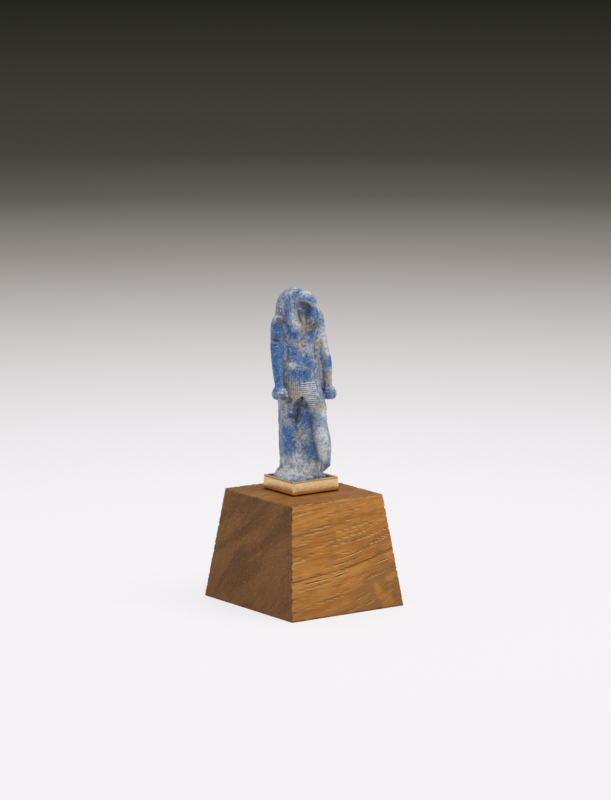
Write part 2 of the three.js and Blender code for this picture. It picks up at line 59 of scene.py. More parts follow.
# %% Sizes and places
tray_low, tray_high = (Vector(c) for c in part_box("gold_tray"))
block_low, block_high = (Vector(c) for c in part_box("wood_block"))
figure_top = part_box("figure")[1][2]
TRAY_WALL = 0.35 * MM
TRAY_FLOOR = 0.35 * MM
BLOCK_TOP_WIDTH = 16.16 * MM
BLOCK_TOP_DEPTH = 16.99 * MM
PLINTH_WIDTH = 6.0 * MM
PLINTH_DEPTH = 5.2 * MM
ROOM_LEFT = 0.08 * MM
ROOM_FRONT = 0.5 * MM
PLINTH_ABOVE_RIM = 0.3 * MM
FIGURE_HEIGHT = 27.6 * MM
SHARE = FIGURE_HEIGHT / 100
LEAN_BACK = math.radians(1.2)
LEAN_TO_ITS_RIGHT = math.radians(1.2)
figure_foot = Vector((
    tray_low.x + TRAY_WALL + ROOM_LEFT + PLINTH_WIDTH / 2,
    tray_low.y + TRAY_WALL + ROOM_FRONT + PLINTH_DEPTH / 2,
    tray_high.z + PLINTH_ABOVE_RIM,
))
print("figure stands at, in mm:", [round(v / MM, 2) for v in figure_foot])

# %% [markdown]
# Blender's tools act on whatever is selected, and the loaded solids start out selected. So every step
# begins by letting go of everything and taking hold of the one piece it works on.

# %% Hold one piece at a time
def hold(piece):
    """Leaves any editing, and selects one piece and nothing else."""
    if bpy.context.mode != "OBJECT":
        bpy.ops.object.mode_set(mode="OBJECT")
    bpy.ops.object.select_all(action="DESELECT")
    bpy.context.view_layer.objects.active = piece
    piece.select_set(True)


def edit(piece, mode="VERT"):
    """Opens one piece for editing with nothing on it selected."""
    hold(piece)
    bpy.ops.object.mode_set(mode="EDIT")
    bpy.ops.mesh.select_mode(type=mode)
    bpy.ops.mesh.select_all(action="DESELECT")


def pick(piece, kind, test):
    """Selects the faces or the edges of a piece that pass a test."""
    bpy.ops.mesh.select_mode(type=kind)
    bpy.ops.mesh.select_all(action="DESELECT")
    bpy.ops.object.mode_set(mode="OBJECT")
    for part in piece.data.polygons if kind == "FACE" else piece.data.edges:
        part.select = test(part)
    bpy.ops.object.mode_set(mode="EDIT")


def way_along(piece, edge):
    """The way from one end of an edge to the other."""
    start, end = (piece.data.vertices[i].co for i in edge.vertices)
    return end - start


def bevel(offset, segments):
    """Takes the selected edges off, flat or round."""
    bpy.ops.mesh.bevel(offset=offset, offset_type="OFFSET", segments=segments, affect="EDGES")


def cut_edges(piece, cuts, test):
    """Cuts every edge whose way from end to end passes a test into short steps."""
    edit(piece, "EDGE")
    pick(piece, "EDGE", lambda edge: test(way_along(piece, edge)))
    bpy.ops.mesh.subdivide(number_cuts=cuts)
    bpy.ops.object.mode_set(mode="OBJECT")


def start_box(name, low, high):
    """A new box between two corners, open for editing."""
    bpy.ops.object.select_all(action="DESELECT")
    bpy.ops.mesh.primitive_cube_add(size=1, location=(low + high) / 2)
    box = bpy.context.active_object
    box.name = name
    hold(box)
    bpy.ops.object.transform_apply(location=True, rotation=True, scale=True)
    edit(box, "FACE")
    bpy.ops.mesh.select_all(action="SELECT")
    bpy.ops.transform.resize(value=high - low, center_override=(low + high) / 2)
    return box


def finish_modifier(piece, kind, **settings):
    """Adds one modifier, sets it and applies it."""
    hold(piece)
    modifier = piece.modifiers.new(kind.title(), kind)
    for name, value in settings.items():
        setattr(modifier, name, value)
    bpy.ops.object.modifier_apply(modifier=modifier.name)


def triangles(piece):
    return sum(len(face.vertices) - 2 for face in piece.data.polygons)


# %% [markdown]
# Fine wear is easiest to think of as a height above the skin at each point. The points are read into a
# table, the height is worked out for all of them at once, and each point moves along its own normal.
# A soft step, a soft line and a soft noise are the three building blocks of every such height.

# %% Heights over a skin
def points_of(piece, kind="co"):
    """The place of each point, or with the kind "normal" its normal, as rows of three numbers."""
    flat = np.empty(len(piece.data.vertices) * 3)
    piece.data.vertices.foreach_get(kind, flat)
    return flat.reshape(-1, 3)


def place_points(piece, points):
    piece.data.vertices.foreach_set("co", points.ravel())
    piece.data.update()


def step(value, low, high):
    """0 below low, 1 above high, and a soft rise between them."""
    share = np.clip((value - low) / (high - low), 0, 1)
    return share * share * (3 - 2 * share)


def line(distance, width):
    """1 on a line, falling softly to 0 at its width."""
    return 1 - step(np.abs(distance), 0, width)


def clouds(points, size, octaves=2, seed=0.0):
    """Soft noise between about -1 and 1, with patches of the size given in the points' own unit."""
    shift = Vector((seed * 7.3, seed * 3.1, seed * 5.7))
    return np.array([
        noise.fractal(Vector(p) / size + shift, 1.0, 2.0, octaves) for p in points.tolist()
    ])


def keep_values(piece, name, values):
    """Stores one number for each point under a name that a material can read."""
    attribute = piece.data.attributes.new(name, "FLOAT", "POINT")
    attribute.data.foreach_set("value", np.clip(values, 0, 1).astype(np.float32))


def hollows_of(piece, rounds):
    """How far each point lies below the average of its neighbours, in metres, after some rounds."""
    edges = np.empty(len(piece.data.edges) * 2, dtype=np.int64)
    piece.data.edges.foreach_get("vertices", edges)
    a, b = edges.reshape(-1, 2).T
    start = points_of(piece)
    count = np.bincount(a, minlength=len(start)) + np.bincount(b, minlength=len(start))
    now = start.copy()
    for _ in range(rounds):
        total = np.stack([
            np.bincount(a, now[b, k], len(now)) + np.bincount(b, now[a, k], len(now)) for k in range(3)
        ], axis=1)
        now = total / np.maximum(count, 1)[:, None]
    return ((now - start) * points_of(piece, "normal")).sum(axis=1)


# %% [markdown]
# Two patterns turn up in more than one material: soft patches with a clear edge, as in mottled stone or
# uneven wood, and darkening where the surface lies low, which is dust and painted shade in the stone and
# painted shade in the gold. Each is built once as a node group with named inputs and outputs, and is then
# placed in each material with its own values.

# %% Small helpers for node trees
def set_inputs(tree, made, inputs):
    """Gives each named input of a node its number, or links it to what another node puts out."""
    for name, value in inputs.items():
        if isinstance(value, bpy.types.NodeSocket):
            tree.links.new(value, made.inputs[name])
        else:
            made.inputs[name].default_value = value


def add_node(tree, kind, inputs=None, **settings):
    """Adds a node, sets its own options and then its inputs."""
    made = tree.nodes.new(kind)
    for name, value in settings.items():
        setattr(made, name, value)
    set_inputs(tree, made, inputs or {})
    return made


def worked_out(tree, operation, *values, **settings):
    """The result of one operation on numbers or on what other nodes put out."""
    made = add_node(tree, "ShaderNodeMath", dict(enumerate(values)), operation=operation, **settings)
    return made.outputs[0]


def ranged(tree, value, start, end, first=0.0, last=1.0, kind="SMOOTHSTEP"):
    """A value on a new scale: first at the start and last at the end, with a rise between them."""
    return add_node(tree, "ShaderNodeMapRange", {
        "Value": value, "From Min": start, "From Max": end, "To Min": first, "To Max": last,
    }, interpolation_type=kind).outputs["Result"]


def parts_of(tree, place):
    """The parts of a place or direction, by the names X, Y and Z."""
    return add_node(tree, "ShaderNodeSeparateXYZ", {"Vector": place}).outputs


def bumped(tree, height, strength, distance, **under):
    """The normals of a skin that a pattern raises, over another skin's if one is named."""
    return add_node(tree, "ShaderNodeBump", {
        "Height": height, "Strength": strength, "Distance": distance, **under,
    }).outputs["Normal"]


def new_group(name, inputs, outputs):
    """Starts a node group with named inputs (kind and default) and named outputs."""
    group = bpy.data.node_groups.new(name, "ShaderNodeTree")
    for label, (kind, default) in inputs.items():
        socket = group.interface.new_socket(label, in_out="INPUT", socket_type="NodeSocket" + kind)
        if default is not None:
            socket.default_value = default
    for label, kind in outputs.items():
        group.interface.new_socket(label, in_out="OUTPUT", socket_type="NodeSocket" + kind)
    return group, group.nodes.new("NodeGroupInput").outputs, group.nodes.new("NodeGroupOutput").inputs


# %% Node group: patches
patches, given, result = new_group(
    "patches",
    {
        "Place": ("Vector", None), "Patches per mm": ("Float", 1.0), "Detail": ("Float", 3.0),
        "Warp": ("Float", 0.5), "Push": ("Float", 0.0), "Edge low": ("Float", 0.5),
        "Edge high": ("Float", 0.6),
    },
    {"Mask": "Float"},
)
field = add_node(patches, "ShaderNodeTexNoise", {
    "Vector": given["Place"], "Scale": worked_out(patches, "MULTIPLY", given["Patches per mm"], 1 / MM),
    "Detail": given["Detail"], "Roughness": 0.62, "Distortion": given["Warp"],
})
pushed = worked_out(patches, "ADD", field.outputs["Fac"], given["Push"])
edged = ranged(patches, pushed, given["Edge low"], given["Edge high"])
patches.links.new(edged, result["Mask"])

# %% Node group: dust and painted shade in the hollows
dust_and_shade, given, result = new_group(
    "dust_and_shade_in_hollows",
    {
        "Place": ("Vector", None), "Hollow": ("Float", 0.0), "Reach": ("Float", 0.5),
        "Grain per mm": ("Float", 4.0),
    },
    {"Mask": "Float"},
)
speckle = add_node(dust_and_shade, "ShaderNodeTexNoise", {
    "Vector": given["Place"], "Scale": worked_out(dust_and_shade, "MULTIPLY", given["Grain per mm"], 1 / MM),
    "Detail": 4.0, "Roughness": 0.7,
})
uneven = ranged(dust_and_shade, speckle.outputs["Fac"], 0.3, 0.7, 0.35, 1.25, "LINEAR")
broken = worked_out(dust_and_shade, "MULTIPLY", given["Hollow"], uneven)
dust_and_shade.links.new(ranged(dust_and_shade, broken, 0.05, given["Reach"]), result["Mask"])
print("node groups:", patches.name, dust_and_shade.name)

# %% [markdown]
# A material is a chain: where a point is, which patches it lies in, and a colour that each patch paints
# over the last. These helpers keep that chain readable, and every shader itself stays in its material.

# %% Starting a material
SPECULAR = 0.3


def start_material(name):
    """A new material with its shader and the place of each point on the object."""
    material = bpy.data.materials.new(name)
    material.use_nodes = True
    tree = material.node_tree
    shader = tree.nodes["Principled BSDF"]
    shader.inputs["Specular IOR Level"].default_value = SPECULAR
    place = add_node(tree, "ShaderNodeTexCoord").outputs["Object"]
    return material, tree, shader, place


def srgb(red, green, blue, alpha=1.0):
    """A colour given as a picture shows it, turned into the light values that a shader needs."""
    def light(value):
        value = value / 255
        return value / 12.92 if value <= 0.04045 else ((value + 0.055) / 1.055) ** 2.4
    return (light(red), light(green), light(blue), alpha)


def paint(tree, under, over, mask, strength=1.0):
    """Paints one colour over another where a mask says so."""
    share = worked_out(tree, "MULTIPLY", mask, strength, use_clamp=True)
    mix = add_node(tree, "ShaderNodeMix", {"Factor": share, 6: under, 7: over}, data_type="RGBA")
    return mix.outputs[2]


def patch_mask(tree, place, per_mm, low, high, warp=0.5, push=0.0, detail=3.0):
    return add_node(tree, "ShaderNodeGroup", {
        "Place": place, "Patches per mm": per_mm, "Edge low": low, "Edge high": high, "Warp": warp,
        "Push": push, "Detail": detail,
    }, node_tree=patches).outputs["Mask"]


def dust_and_shade_mask(tree, place, hollow, reach, per_mm):
    return add_node(tree, "ShaderNodeGroup", {
        "Place": place, "Hollow": hollow, "Reach": reach, "Grain per mm": per_mm,
    }, node_tree=dust_and_shade).outputs["Mask"]


def kept(tree, name):
    """Reads the numbers that were stored for each point under a name."""
    return add_node(tree, "ShaderNodeAttribute", attribute_name=name).outputs["Fac"]


def mapped(tree, place, turn=(0, 0, 0), scale=(1, 1, 1), shift=(0, 0, 0)):
    """The same place, turned, stretched and shifted, for a pattern with a direction."""
    return add_node(tree, "ShaderNodeMapping", {
        "Vector": place, "Rotation": turn, "Scale": scale, "Location": shift,
    }).outputs["Vector"]


# %% [markdown]
# ## The wooden block
# The real block is sawn from walnut with the grain running left to right. It is drawn in towards its top,
# its edges are a little ragged, and the front keeps the marks of the saw and splits along the grain.
# It could be a box with a wood picture on it, but the splits and chips show at the edges, so they are
# made in the mesh. A cube is stretched to the foot's size, its top face is scaled in, and its edges are
# bevelled. Then the edges of each direction are cut into short steps, so there is a fine grid to wear.

# %% The block's form
BLOCK_EDGE = 0.12 * MM
GRID_CUTS = {"z": 144, "x": 84, "y": 104}
SQUARE_TO = 0.9
block_size = block_high - block_low
block_middle = (block_low + block_high) / 2
block = start_box("walnut_block", block_low, block_high)
pick(block, "FACE", lambda face: face.normal.z > SQUARE_TO)
bpy.ops.transform.resize(
    value=(BLOCK_TOP_WIDTH / block_size.x, BLOCK_TOP_DEPTH / block_size.y, 1),
    center_override=(block_middle.x, block_middle.y, block_high.z),
)
bpy.ops.mesh.select_all(action="SELECT")
bevel(BLOCK_EDGE, 1)
print("block triangles before its grid is cut:", triangles(block))

# %% A fine grid on the block
LONG_EDGE = max(block_size) / 4
for axis, cuts in GRID_CUTS.items():
    cut_edges(
        block, cuts,
        lambda way: way.length > LONG_EDGE and abs(getattr(way.normalized(), axis)) > SQUARE_TO,
    )
print("block faces:", len(block.data.polygons), "triangles:", triangles(block))

# %% [markdown]
# Now the grid is worn. Wood splits along its grain and never across it, so the noise behind the splits is
# stretched along the grain. On this block the grain rises gently to the right near the top, and more and
# more steeply towards the lower right corner, so each point gets a grain height: the height at which its
# fibre would meet the left edge. Chips break out at the edges, so each point also needs its distance to
# the nearest edge.

# %% The block's wear
tray_size = tray_high - tray_low
tray_middle = (tray_low + tray_high) / 2
GRAIN_RISE = math.radians(4.5)
GRAIN_BEND_START = -4 * MM
GRAIN_BEND = 3.4 * MM
GRAIN_STRETCH = 0.055
SPLIT_DEPTH = 0.04 * MM
SEAM_HEIGHTS = [2.2 * MM, 6.4 * MM]
SEAM_WIDTH = 0.2 * MM
SEAM_DEPTH = 0.07 * MM
FLAKE_HEIGHT = 0.05 * MM
PORE_DEPTH = 0.015 * MM
BROAD_DEPTH = 0.015 * MM
TRAY_SHADE = 0.34 * MM
CHIP_DEPTH = 0.17 * MM
CHIP_REACH = 0.38 * MM


def edge_distance(points):
    """How far each point on the block lies from the nearest edge between two faces."""
    share = (points[:, 2] - block_low.z) / block_size.z
    half_width = (block_size.x * (1 - share) + BLOCK_TOP_WIDTH * share) / 2
    half_depth = (block_size.y * (1 - share) + BLOCK_TOP_DEPTH * share) / 2
    to_faces = np.stack([
        half_width - np.abs(points[:, 0] - block_middle.x),
        half_depth - np.abs(points[:, 1] - block_middle.y),
        block_high.z - points[:, 2],
        points[:, 2] - block_low.z,
    ])
    return np.sort(to_faces, axis=0)[1]


def grain_height(points):
    x, z = points[:, 0], points[:, 2]
    bend = np.clip((x - GRAIN_BEND_START) / (block_high.x - GRAIN_BEND_START), 0, 1) ** 2
    return z - math.tan(GRAIN_RISE) * x - GRAIN_BEND * bend * np.clip(1 - z / block_high.z, 0, 1)


def along_grain(points, lower=0.0):
    """Points as a pattern along the grain sees them; lower looks a little below each point."""
    return np.stack([points[:, 0] * GRAIN_STRETCH, points[:, 1], grain_height(points) - lower], axis=1)


def to_low_right(points):
    """How far each point lies towards the lower right corner."""
    return points[:, 0] - points[:, 2]


def splits_at(points, lower=0.0):
    """Where the wood has split: few and long, more of them low down and to the right."""
    low_right = step(to_low_right(points), -12 * MM, 12 * MM)
    field = clouds(along_grain(points, lower), 0.42 * MM, 2, seed=1)
    return step(field + 0.13 * low_right, 0.46, 0.66)


def seams_at(points):
    """Two longer seams that follow the grain and come and go, the upper one stronger."""
    height = grain_height(points) + 0.22 * MM * clouds(points * np.array([0.3, 1, 0]), 1.2 * MM, 2, seed=8)
    broken = clouds(along_grain(points), 0.8 * MM, 2, seed=9)
    lower, upper = [line(height - seam, SEAM_WIDTH) for seam in SEAM_HEIGHTS]
    return np.maximum(lower * step(broken, 0.0, 0.3), upper * step(broken, -0.4, 0.0))


start = points_of(block)
normals = points_of(block, "normal")
end_grain = step(np.abs(normals[:, 0]), 0.6, 0.8)
seams = seams_at(start) * (1 - end_grain)
calm = (1 - end_grain) * (1 - 0.9 * step(to_low_right(start), -3 * MM, 5 * MM))
splits = splits_at(start)
flakes = np.maximum(splits_at(start, -0.15 * MM) - splits, 0) * calm
splits *= calm
pores = step(clouds(start, 0.42 * MM, 2, seed=3), 0.2, 0.55) * end_grain
ragged = clouds(start * np.array([1, 1, 1.6]), 0.6 * MM, 2, seed=6)
at_edge = 1 - step(edge_distance(start), 0, CHIP_REACH)
chips = at_edge * step(ragged, 0.1, 0.55)
depth = SPLIT_DEPTH * splits - FLAKE_HEIGHT * flakes + PORE_DEPTH * pores + SEAM_DEPTH * seams
depth += CHIP_DEPTH * chips - BROAD_DEPTH * clouds(along_grain(start), 2.2 * MM, 2, seed=7)
on_foot = step(start[:, 2] - block_low.z, 0, 0.2 * MM)
place_points(block, start - normals * (depth * on_foot)[:, None])
keep_values(block, "split", splits)
keep_values(block, "flake", flakes)
keep_values(block, "seam", seams)
broad = clouds(start, 2.4 * MM, 2, seed=10)
keep_values(block, "low_right", step(to_low_right(start), -9 * MM, 6 * MM) * step(broad, -0.5, 0.1))
from_tray = np.max([
    np.abs(start[:, axis] - tray_middle[axis]) - tray_size[axis] / 2 for axis in (0, 1)
], axis=0)
# Where the tray's painted shadow lies on the wood's top.
keep_values(block, "tray_shade", line(from_tray, TRAY_SHADE) * step(normals[:, 2], 0.7, 0.9))
keep_values(block, "chip", at_edge * step(ragged, 0.1, 0.5))
keep_values(block, "edge", at_edge * step(-ragged, -0.2, 0.5))
GRAIN_ROOM = 2 * block_size.z
keep_values(block, "grain_height", (grain_height(start) + block_size.z / 2) / GRAIN_ROOM)
hold(block)
bpy.ops.object.shade_smooth_by_angle(angle=math.radians(50))
print("block worn, deepest mark in mm:", round(float(depth.max()) / MM, 2))

# %% [markdown]
# ## The gold tray
# The tray is one sheet of gold, cut and folded into a shallow box a little bigger than the stone. Folded
# sheet is never sharp: its corners and foot are round, its rim is a soft line, and its sides wander a
# little and lean in towards the rim, which is what bends the reflections. A cube gets round corners by
# bevels, its top face is inset by the sheet's thickness and pushed down to the floor, and the rim's two
# borders, the edges with just one face of the rim beside them, are rounded. Then the long sides are cut
# so they can wander.

# %% The tray's form
CORNER_ROUNDING = 0.17 * MM
FOOT_ROUNDING = 0.34 * MM
RIM_ROUNDING = 0.07 * MM
NEARLY = 0.01 * MM
tray = start_box("folded_tray", tray_low, tray_high)
pick(tray, "EDGE", lambda edge: abs(way_along(tray, edge).normalized().z) > SQUARE_TO)
bevel(CORNER_ROUNDING, 5)
pick(tray, "EDGE", lambda edge: all(
    tray.data.vertices[i].co.z < tray_low.z + NEARLY for i in edge.vertices
))
bevel(FOOT_ROUNDING, 6)
pick(tray, "FACE", lambda face: face.normal.z > SQUARE_TO)
bpy.ops.mesh.inset(thickness=TRAY_WALL)
bpy.ops.mesh.extrude_region_move(
    TRANSFORM_OT_translate={"value": (0, 0, -(tray_size.z - TRAY_FLOOR))}
)
bpy.ops.object.mode_set(mode="OBJECT")
beside = {}
for face in tray.data.polygons:
    if face.normal.z > SQUARE_TO and face.center.z > tray_high.z - NEARLY:
        for key in face.edge_keys:
            beside[key] = beside.get(key, 0) + 1
edit(tray, "EDGE")
pick(tray, "EDGE", lambda edge: beside.get(tuple(sorted(edge.vertices))) == 1)
bevel(RIM_ROUNDING, 2)
bpy.ops.object.mode_set(mode="OBJECT")
print("tray triangles before its sides are cut:", triangles(tray))

# %% The tray's bent sides
SIDE_CUTS = 26
SHORT_CUTS = 5
WANDER = 0.006 * MM
SIDES_LEAN_IN = 0.11 * MM
FOOT_SPREAD = 0.05 * MM
for longest, cuts in ((4 * MM, SIDE_CUTS), (1 * MM, SHORT_CUTS)):
    cut_edges(tray, cuts, lambda way: way.length > longest)
start = points_of(tray)
normals = points_of(tray, "normal")
sides = 1 - step(np.abs(normals[:, 2]), 0.3, 0.9)
wander = WANDER * clouds(start, 2.6 * MM, 1, seed=11) + 0.3 * WANDER * clouds(start, 0.8 * MM, 1, seed=12)
height = (start[:, 2] - tray_low.z) / tray_size.z
worn = start + normals * (wander * sides)[:, None]
from_middle = start[:, :2] - np.array(tray_middle)[:2]
inside_by = np.array(tray_size)[:2] / 2 - np.abs(from_middle)
outer = 1 - step(inside_by, 0.1 * MM, 0.3 * MM)
worn[:, :2] += np.sign(from_middle) * outer * (FOOT_SPREAD - SIDES_LEAN_IN * height)[:, None]
place_points(tray, worn)
# The foot and the inner walls below the rim are marked for painted shade.
inside = step(-((start - np.array(tray_middle)) * normals)[:, :2].sum(axis=1), 0, 0.5 * MM)
painted_foot_shade = 1 - step(height, 0.0, 0.14)
keep_values(tray, "hollow", np.maximum(painted_foot_shade, 0.8 * inside * (1 - step(height, 0.7, 1.0))))
hold(tray)
bpy.ops.object.shade_smooth_by_angle(angle=math.radians(40))
print("tray triangles:", triangles(tray))

# %% [markdown]
# ## The carved figure
# The figure is one lump of lapis lazuli, and the solid already has its pose and its main forms. What it
# lacks is the skin: chisel lines thinner than a hair, worn edges and pits. The skin could be drawn on the
# solid's own faces, but those are far too large for it, and they show as facets. So a copy of the solid is
# rebuilt as an even net of small squares, smoothed, and rebuilt finer. The remesh needs room for numbers
# of a sensible size, so the copy is worked on in millimetres and shrunk back at the end.

# %% An even skin over a copy of the solid
COARSE_NET = 0.11
FINE_NET = 0.065
SMOOTHING_ROUNDS = 9
figure = bpy.data.objects.new("carved_figure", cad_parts["figure"].data.copy())
bpy.context.scene.collection.objects.link(figure)
edit(figure)
bpy.ops.mesh.select_all(action="SELECT")
bpy.ops.mesh.remove_doubles(threshold=0.001 * MM)
bpy.ops.transform.resize(value=(1 / MM,) * 3, center_override=(0, 0, 0))
finish_modifier(figure, "REMESH", mode="VOXEL", voxel_size=COARSE_NET)
finish_modifier(figure, "SMOOTH", factor=0.5, iterations=SMOOTHING_ROUNDS)
finish_modifier(figure, "REMESH", mode="VOXEL", voxel_size=FINE_NET)
print("figure's net:", len(figure.data.polygons), "faces")

# %% [markdown]
# A carver measures everything from the figure itself, so the carving is placed in the figure's own frame:
# upright, from the middle of the plinth's top, in hundredths of its height. These lines turn each point
# of the net into that frame.

# %% The figure's own frame
lean = Matrix.Rotation(-LEAN_BACK, 3, "X") @ Matrix.Rotation(-LEAN_TO_ITS_RIGHT, 3, "Y")
net = points_of(figure)
net_normals = points_of(figure, "normal")
own = (net - np.array(figure_foot / MM)) @ np.array(lean) / (SHARE / MM)
own_normals = net_normals @ np.array(lean)
X, Y, Z = own.T
SIDE = np.abs(X)
print("own frame reaches, in shares:", own.min(axis=0).round(1), own.max(axis=0).round(1))


def ring_angle(x, y, half, front, back, square):
    """Where a point lies round an oval, squarish section, from 0 in front, as the solid counts it."""
    reach = np.where(y < 0, front, back)
    across = np.sign(x) * np.abs(x / half) ** (square / 2)
    ahead = -np.sign(y) * np.abs(y / reach) ** (square / 2)
    return np.arctan2(across, ahead)


def between(value, low, high, soft):
    """1 between two heights, falling softly to 0 outside them."""
    return step(value, low - soft, low + soft) * (1 - step(value, high - soft, high + soft))


def groove_wave(turns, sharpness):
    """A row of narrow grooves: 1 wherever the wave is at its top, and 0 over most of the way between."""
    return np.maximum(np.cos(turns), 0) ** sharpness


def from_segment(start, end):
    """The distance of each point from a straight line between two places."""
    start, end = np.array(start, float), np.array(end, float)
    along = end - start
    share = np.clip((own - start) @ along / max(along @ along, 1e-9), 0, 1)
    return np.linalg.norm(own - (start + share[:, None] * along), axis=1)


def lump_at(middle, size):
    """1 in the middle of a soft, egg-shaped place and 0 outside it."""
    away = np.linalg.norm((own - np.array(middle)) / np.array(size), axis=1)
    return 1 - step(away, 0.25, 1.0)


# %% [markdown]
# The wig has a fine lock between each pair of the solid's locks, and each lappet is combed from top to
# bottom. The kilt has narrow pleats, a belt of cords, and a tab ribbed from side to side. The lines lie in
# step with the solid's own broader waves, so the two never fight.

# %% Chisel lines
LOCK_LINE = 0.06
LAPPET_LINE = 0.08
PLEAT_LINE = 0.05
BELT_LINE = 0.045
RIB_LINE = 0.09
FINGER_LINE = 0.07
KILT_TOP = 61.8
KILT_HEM = 40.0
BELT_HEIGHT = 2.5
BELT_DIP = 3.2
BELT_CORDS = 3
KILT_PLEATS = 52
WIG_LOCKS = 48
WIG_MIDDLE = -0.6
WIG_RING = (9.8, 9.2, 9.8, 2.1)
KILT_MIDDLE = -2.8
KILT_RING = (11, 7.2, 7, 2.5)
TAB_TOP = 50.8
TAB_FOOT = 37.2
TAB_TURN = math.radians(21)
TAB_PLACE = (0.2, -11.0)
TAB_RIBS = 13
TAB_HEIGHTS = [TAB_FOOT, 41, 45, 48.5, TAB_TOP]
TAB_HALVES = [1.5, 2.7, 4.1, 4.7, 3.7]
TAB_MIDDLES = [1.8, 0.9, -0.1, -0.5, -0.3]
FIST_LOW = 41.2
FIST_HIGH = 48.0
FINGERS = 4
RIGHT_HAND_RAISED = 1.5
LEFT_HAND_LOWERED = 1.9

wig_y = Y - WIG_MIDDLE
wig_angle = ring_angle(X, wig_y, *WIG_RING)
outward = own_normals[:, 0] * X + own_normals[:, 1] * wig_y
facing_out = step(outward / np.maximum(np.hypot(X, Y), 1), 0.3, 0.7)
on_wig = step(np.hypot(X, wig_y), 7.6, 8.6) * between(Z, 80, 97, 2) * facing_out
on_wig *= 1 - step(-Y, 5.5, 8)
carving = -LOCK_LINE * groove_wave(WIG_LOCKS * wig_angle, 3) * on_wig

LAPPET_HEIGHTS = [77.6, 80.8, 85.0, 89, 92.5, 95.5]
LAPPET_MIDDLES = [4.8, 5.3, 6.4, 6.9, 6.3, 4.6]
LAPPET_HALVES = [3.1, 3.6, 3.6, 3.1, 2.3, 1.4]
LAPPET_LOCKS = 5
lappet_x = SIDE - np.interp(Z, LAPPET_HEIGHTS, LAPPET_MIDDLES)
lappet_x /= np.interp(Z, LAPPET_HEIGHTS, LAPPET_HALVES)
on_lappet = between(lappet_x, -0.95, 0.95, 0.08) * between(Z, 77.8, 94.5, 0.8)
on_lappet *= step(-own_normals[:, 1], 0.3, 0.6) * step(-Y, 3.0, 4.5)
comb = LAPPET_LOCKS * np.pi * np.sign(lappet_x) * np.minimum(np.abs(lappet_x), 1) ** 1.7 + np.pi
carving -= LAPPET_LINE * groove_wave(comb, 3) * on_lappet

dip = np.where(Y < 0, np.exp(-(X / 6) ** 2), 0) * BELT_DIP
below_top = KILT_TOP - dip - Z
on_body = 1 - step(SIDE, 11.4, 11.9)
on_belt = between(below_top, 0.1, BELT_HEIGHT, 0.15) * on_body
carving -= BELT_LINE * groove_wave(below_top / BELT_HEIGHT * BELT_CORDS * 2 * np.pi, 2) * on_belt

kilt_y = Y - KILT_MIDDLE
kilt_angle = ring_angle(X, kilt_y, *KILT_RING)
on_kilt = step(np.hypot(X, kilt_y), 5.5, 6.5) * on_body * between(Z, KILT_HEM + 0.6, KILT_TOP - 3, 0.6)
on_kilt *= step(below_top, BELT_HEIGHT + 0.1, BELT_HEIGHT + 0.7)
carving -= PLEAT_LINE * groove_wave(KILT_PLEATS * kilt_angle, 2) * on_kilt


def tab_and_ribs(x, y, z):
    """How far a point is on the kilt's tab, from 0 to 1, and how far it is along the tab's row of ribs."""
    right, back = x - TAB_PLACE[0], y - TAB_PLACE[1]
    across = right * math.cos(TAB_TURN) - back * math.sin(TAB_TURN)
    inward = right * math.sin(TAB_TURN) + back * math.cos(TAB_TURN)
    half = np.interp(z, TAB_HEIGHTS, TAB_HALVES)
    middle = np.interp(z, TAB_HEIGHTS, TAB_MIDDLES)
    inside = between(across, middle - half, middle + half, 0.25) * between(z, TAB_FOOT, TAB_TOP, 0.2)
    return inside * step(-inward, -0.6, 0.1), (z - TAB_FOOT) / (TAB_TOP - TAB_FOOT) * TAB_RIBS * 2 * np.pi


on_tab, ribs = tab_and_ribs(X, Y, Z)
carving *= 1 - on_tab
carving -= RIB_LINE * groove_wave(ribs, 3) * on_tab

hand_z = Z - np.where(X < 0, RIGHT_HAND_RAISED, -LEFT_HAND_LOWERED)
on_fist = step(SIDE, 11.6, 12.2) * (1 - step(Y, -6.5, -3.5))
on_fist *= between(hand_z, FIST_LOW + 0.6, FIST_HIGH - 0.8, 0.3)
fingers = (hand_z - FIST_LOW) / (FIST_HIGH - FIST_LOW) * FINGERS * 2 * np.pi
carving -= FINGER_LINE * groove_wave(fingers, 3) * on_fist
print("chisel lines, deepest in mm:", round(float(-carving.min()), 3))

# %% [markdown]
# Some cuts are single strokes: the ring round each eye, the line where the beak closes, the edge between
# lappet and face, the navel, and the toes. Each is given by its two ends, its half width and its depth.
# A few places are lower than their surroundings for another reason: a notch in the near arm, old pits in
# the stone, and the rough patch on the chest where the beak once lay.

# %% Single strokes, notches and pits
STROKES = [
    # start, end, half width in shares, depth in mm
    ((4.0, -9.6, 94.2), (2.4, -17.6, 92.6), 0.5, 0.07),
    ((5.3, -6.2, 96.0), (4.3, -8.6, 91.0), 0.75, 0.13),
    ((4.3, -8.6, 91.0), (3.2, -9.6, 86.0), 0.75, 0.13),
    ((4.3, -9.6, 96.6), (3.9, -10.4, 96.5), 0.35, 0.04),
]
TOE_GAPS = 4
TOE_PITCH = 1.25
FOOT_MIDDLE = -5.5
TOE_LINE = 0.06
EYE_Y, EYE_Z = -11.6, 96.4
EYE_RING = 1.35
EYE_LINE = 0.07
for start, end, width, deep in STROKES:
    for hand in (-1, 1):
        ends = [(hand * x, y, z) for x, y, z in (start, end)]
        carving -= deep * line(from_segment(*ends), width)
for gap in range(TOE_GAPS):
    x = FOOT_MIDDLE + (gap - (TOE_GAPS - 1) / 2) * TOE_PITCH
    carving -= TOE_LINE * line(from_segment((x, -10.4, 0.9), (x, -7.4, 2.4)), 0.42)
eye_ring = np.hypot(Y - EYE_Y, Z - EYE_Z)
carving -= EYE_LINE * line(eye_ring - EYE_RING, 0.45) * step(SIDE, 2.2, 3.0) * (Z > 90)
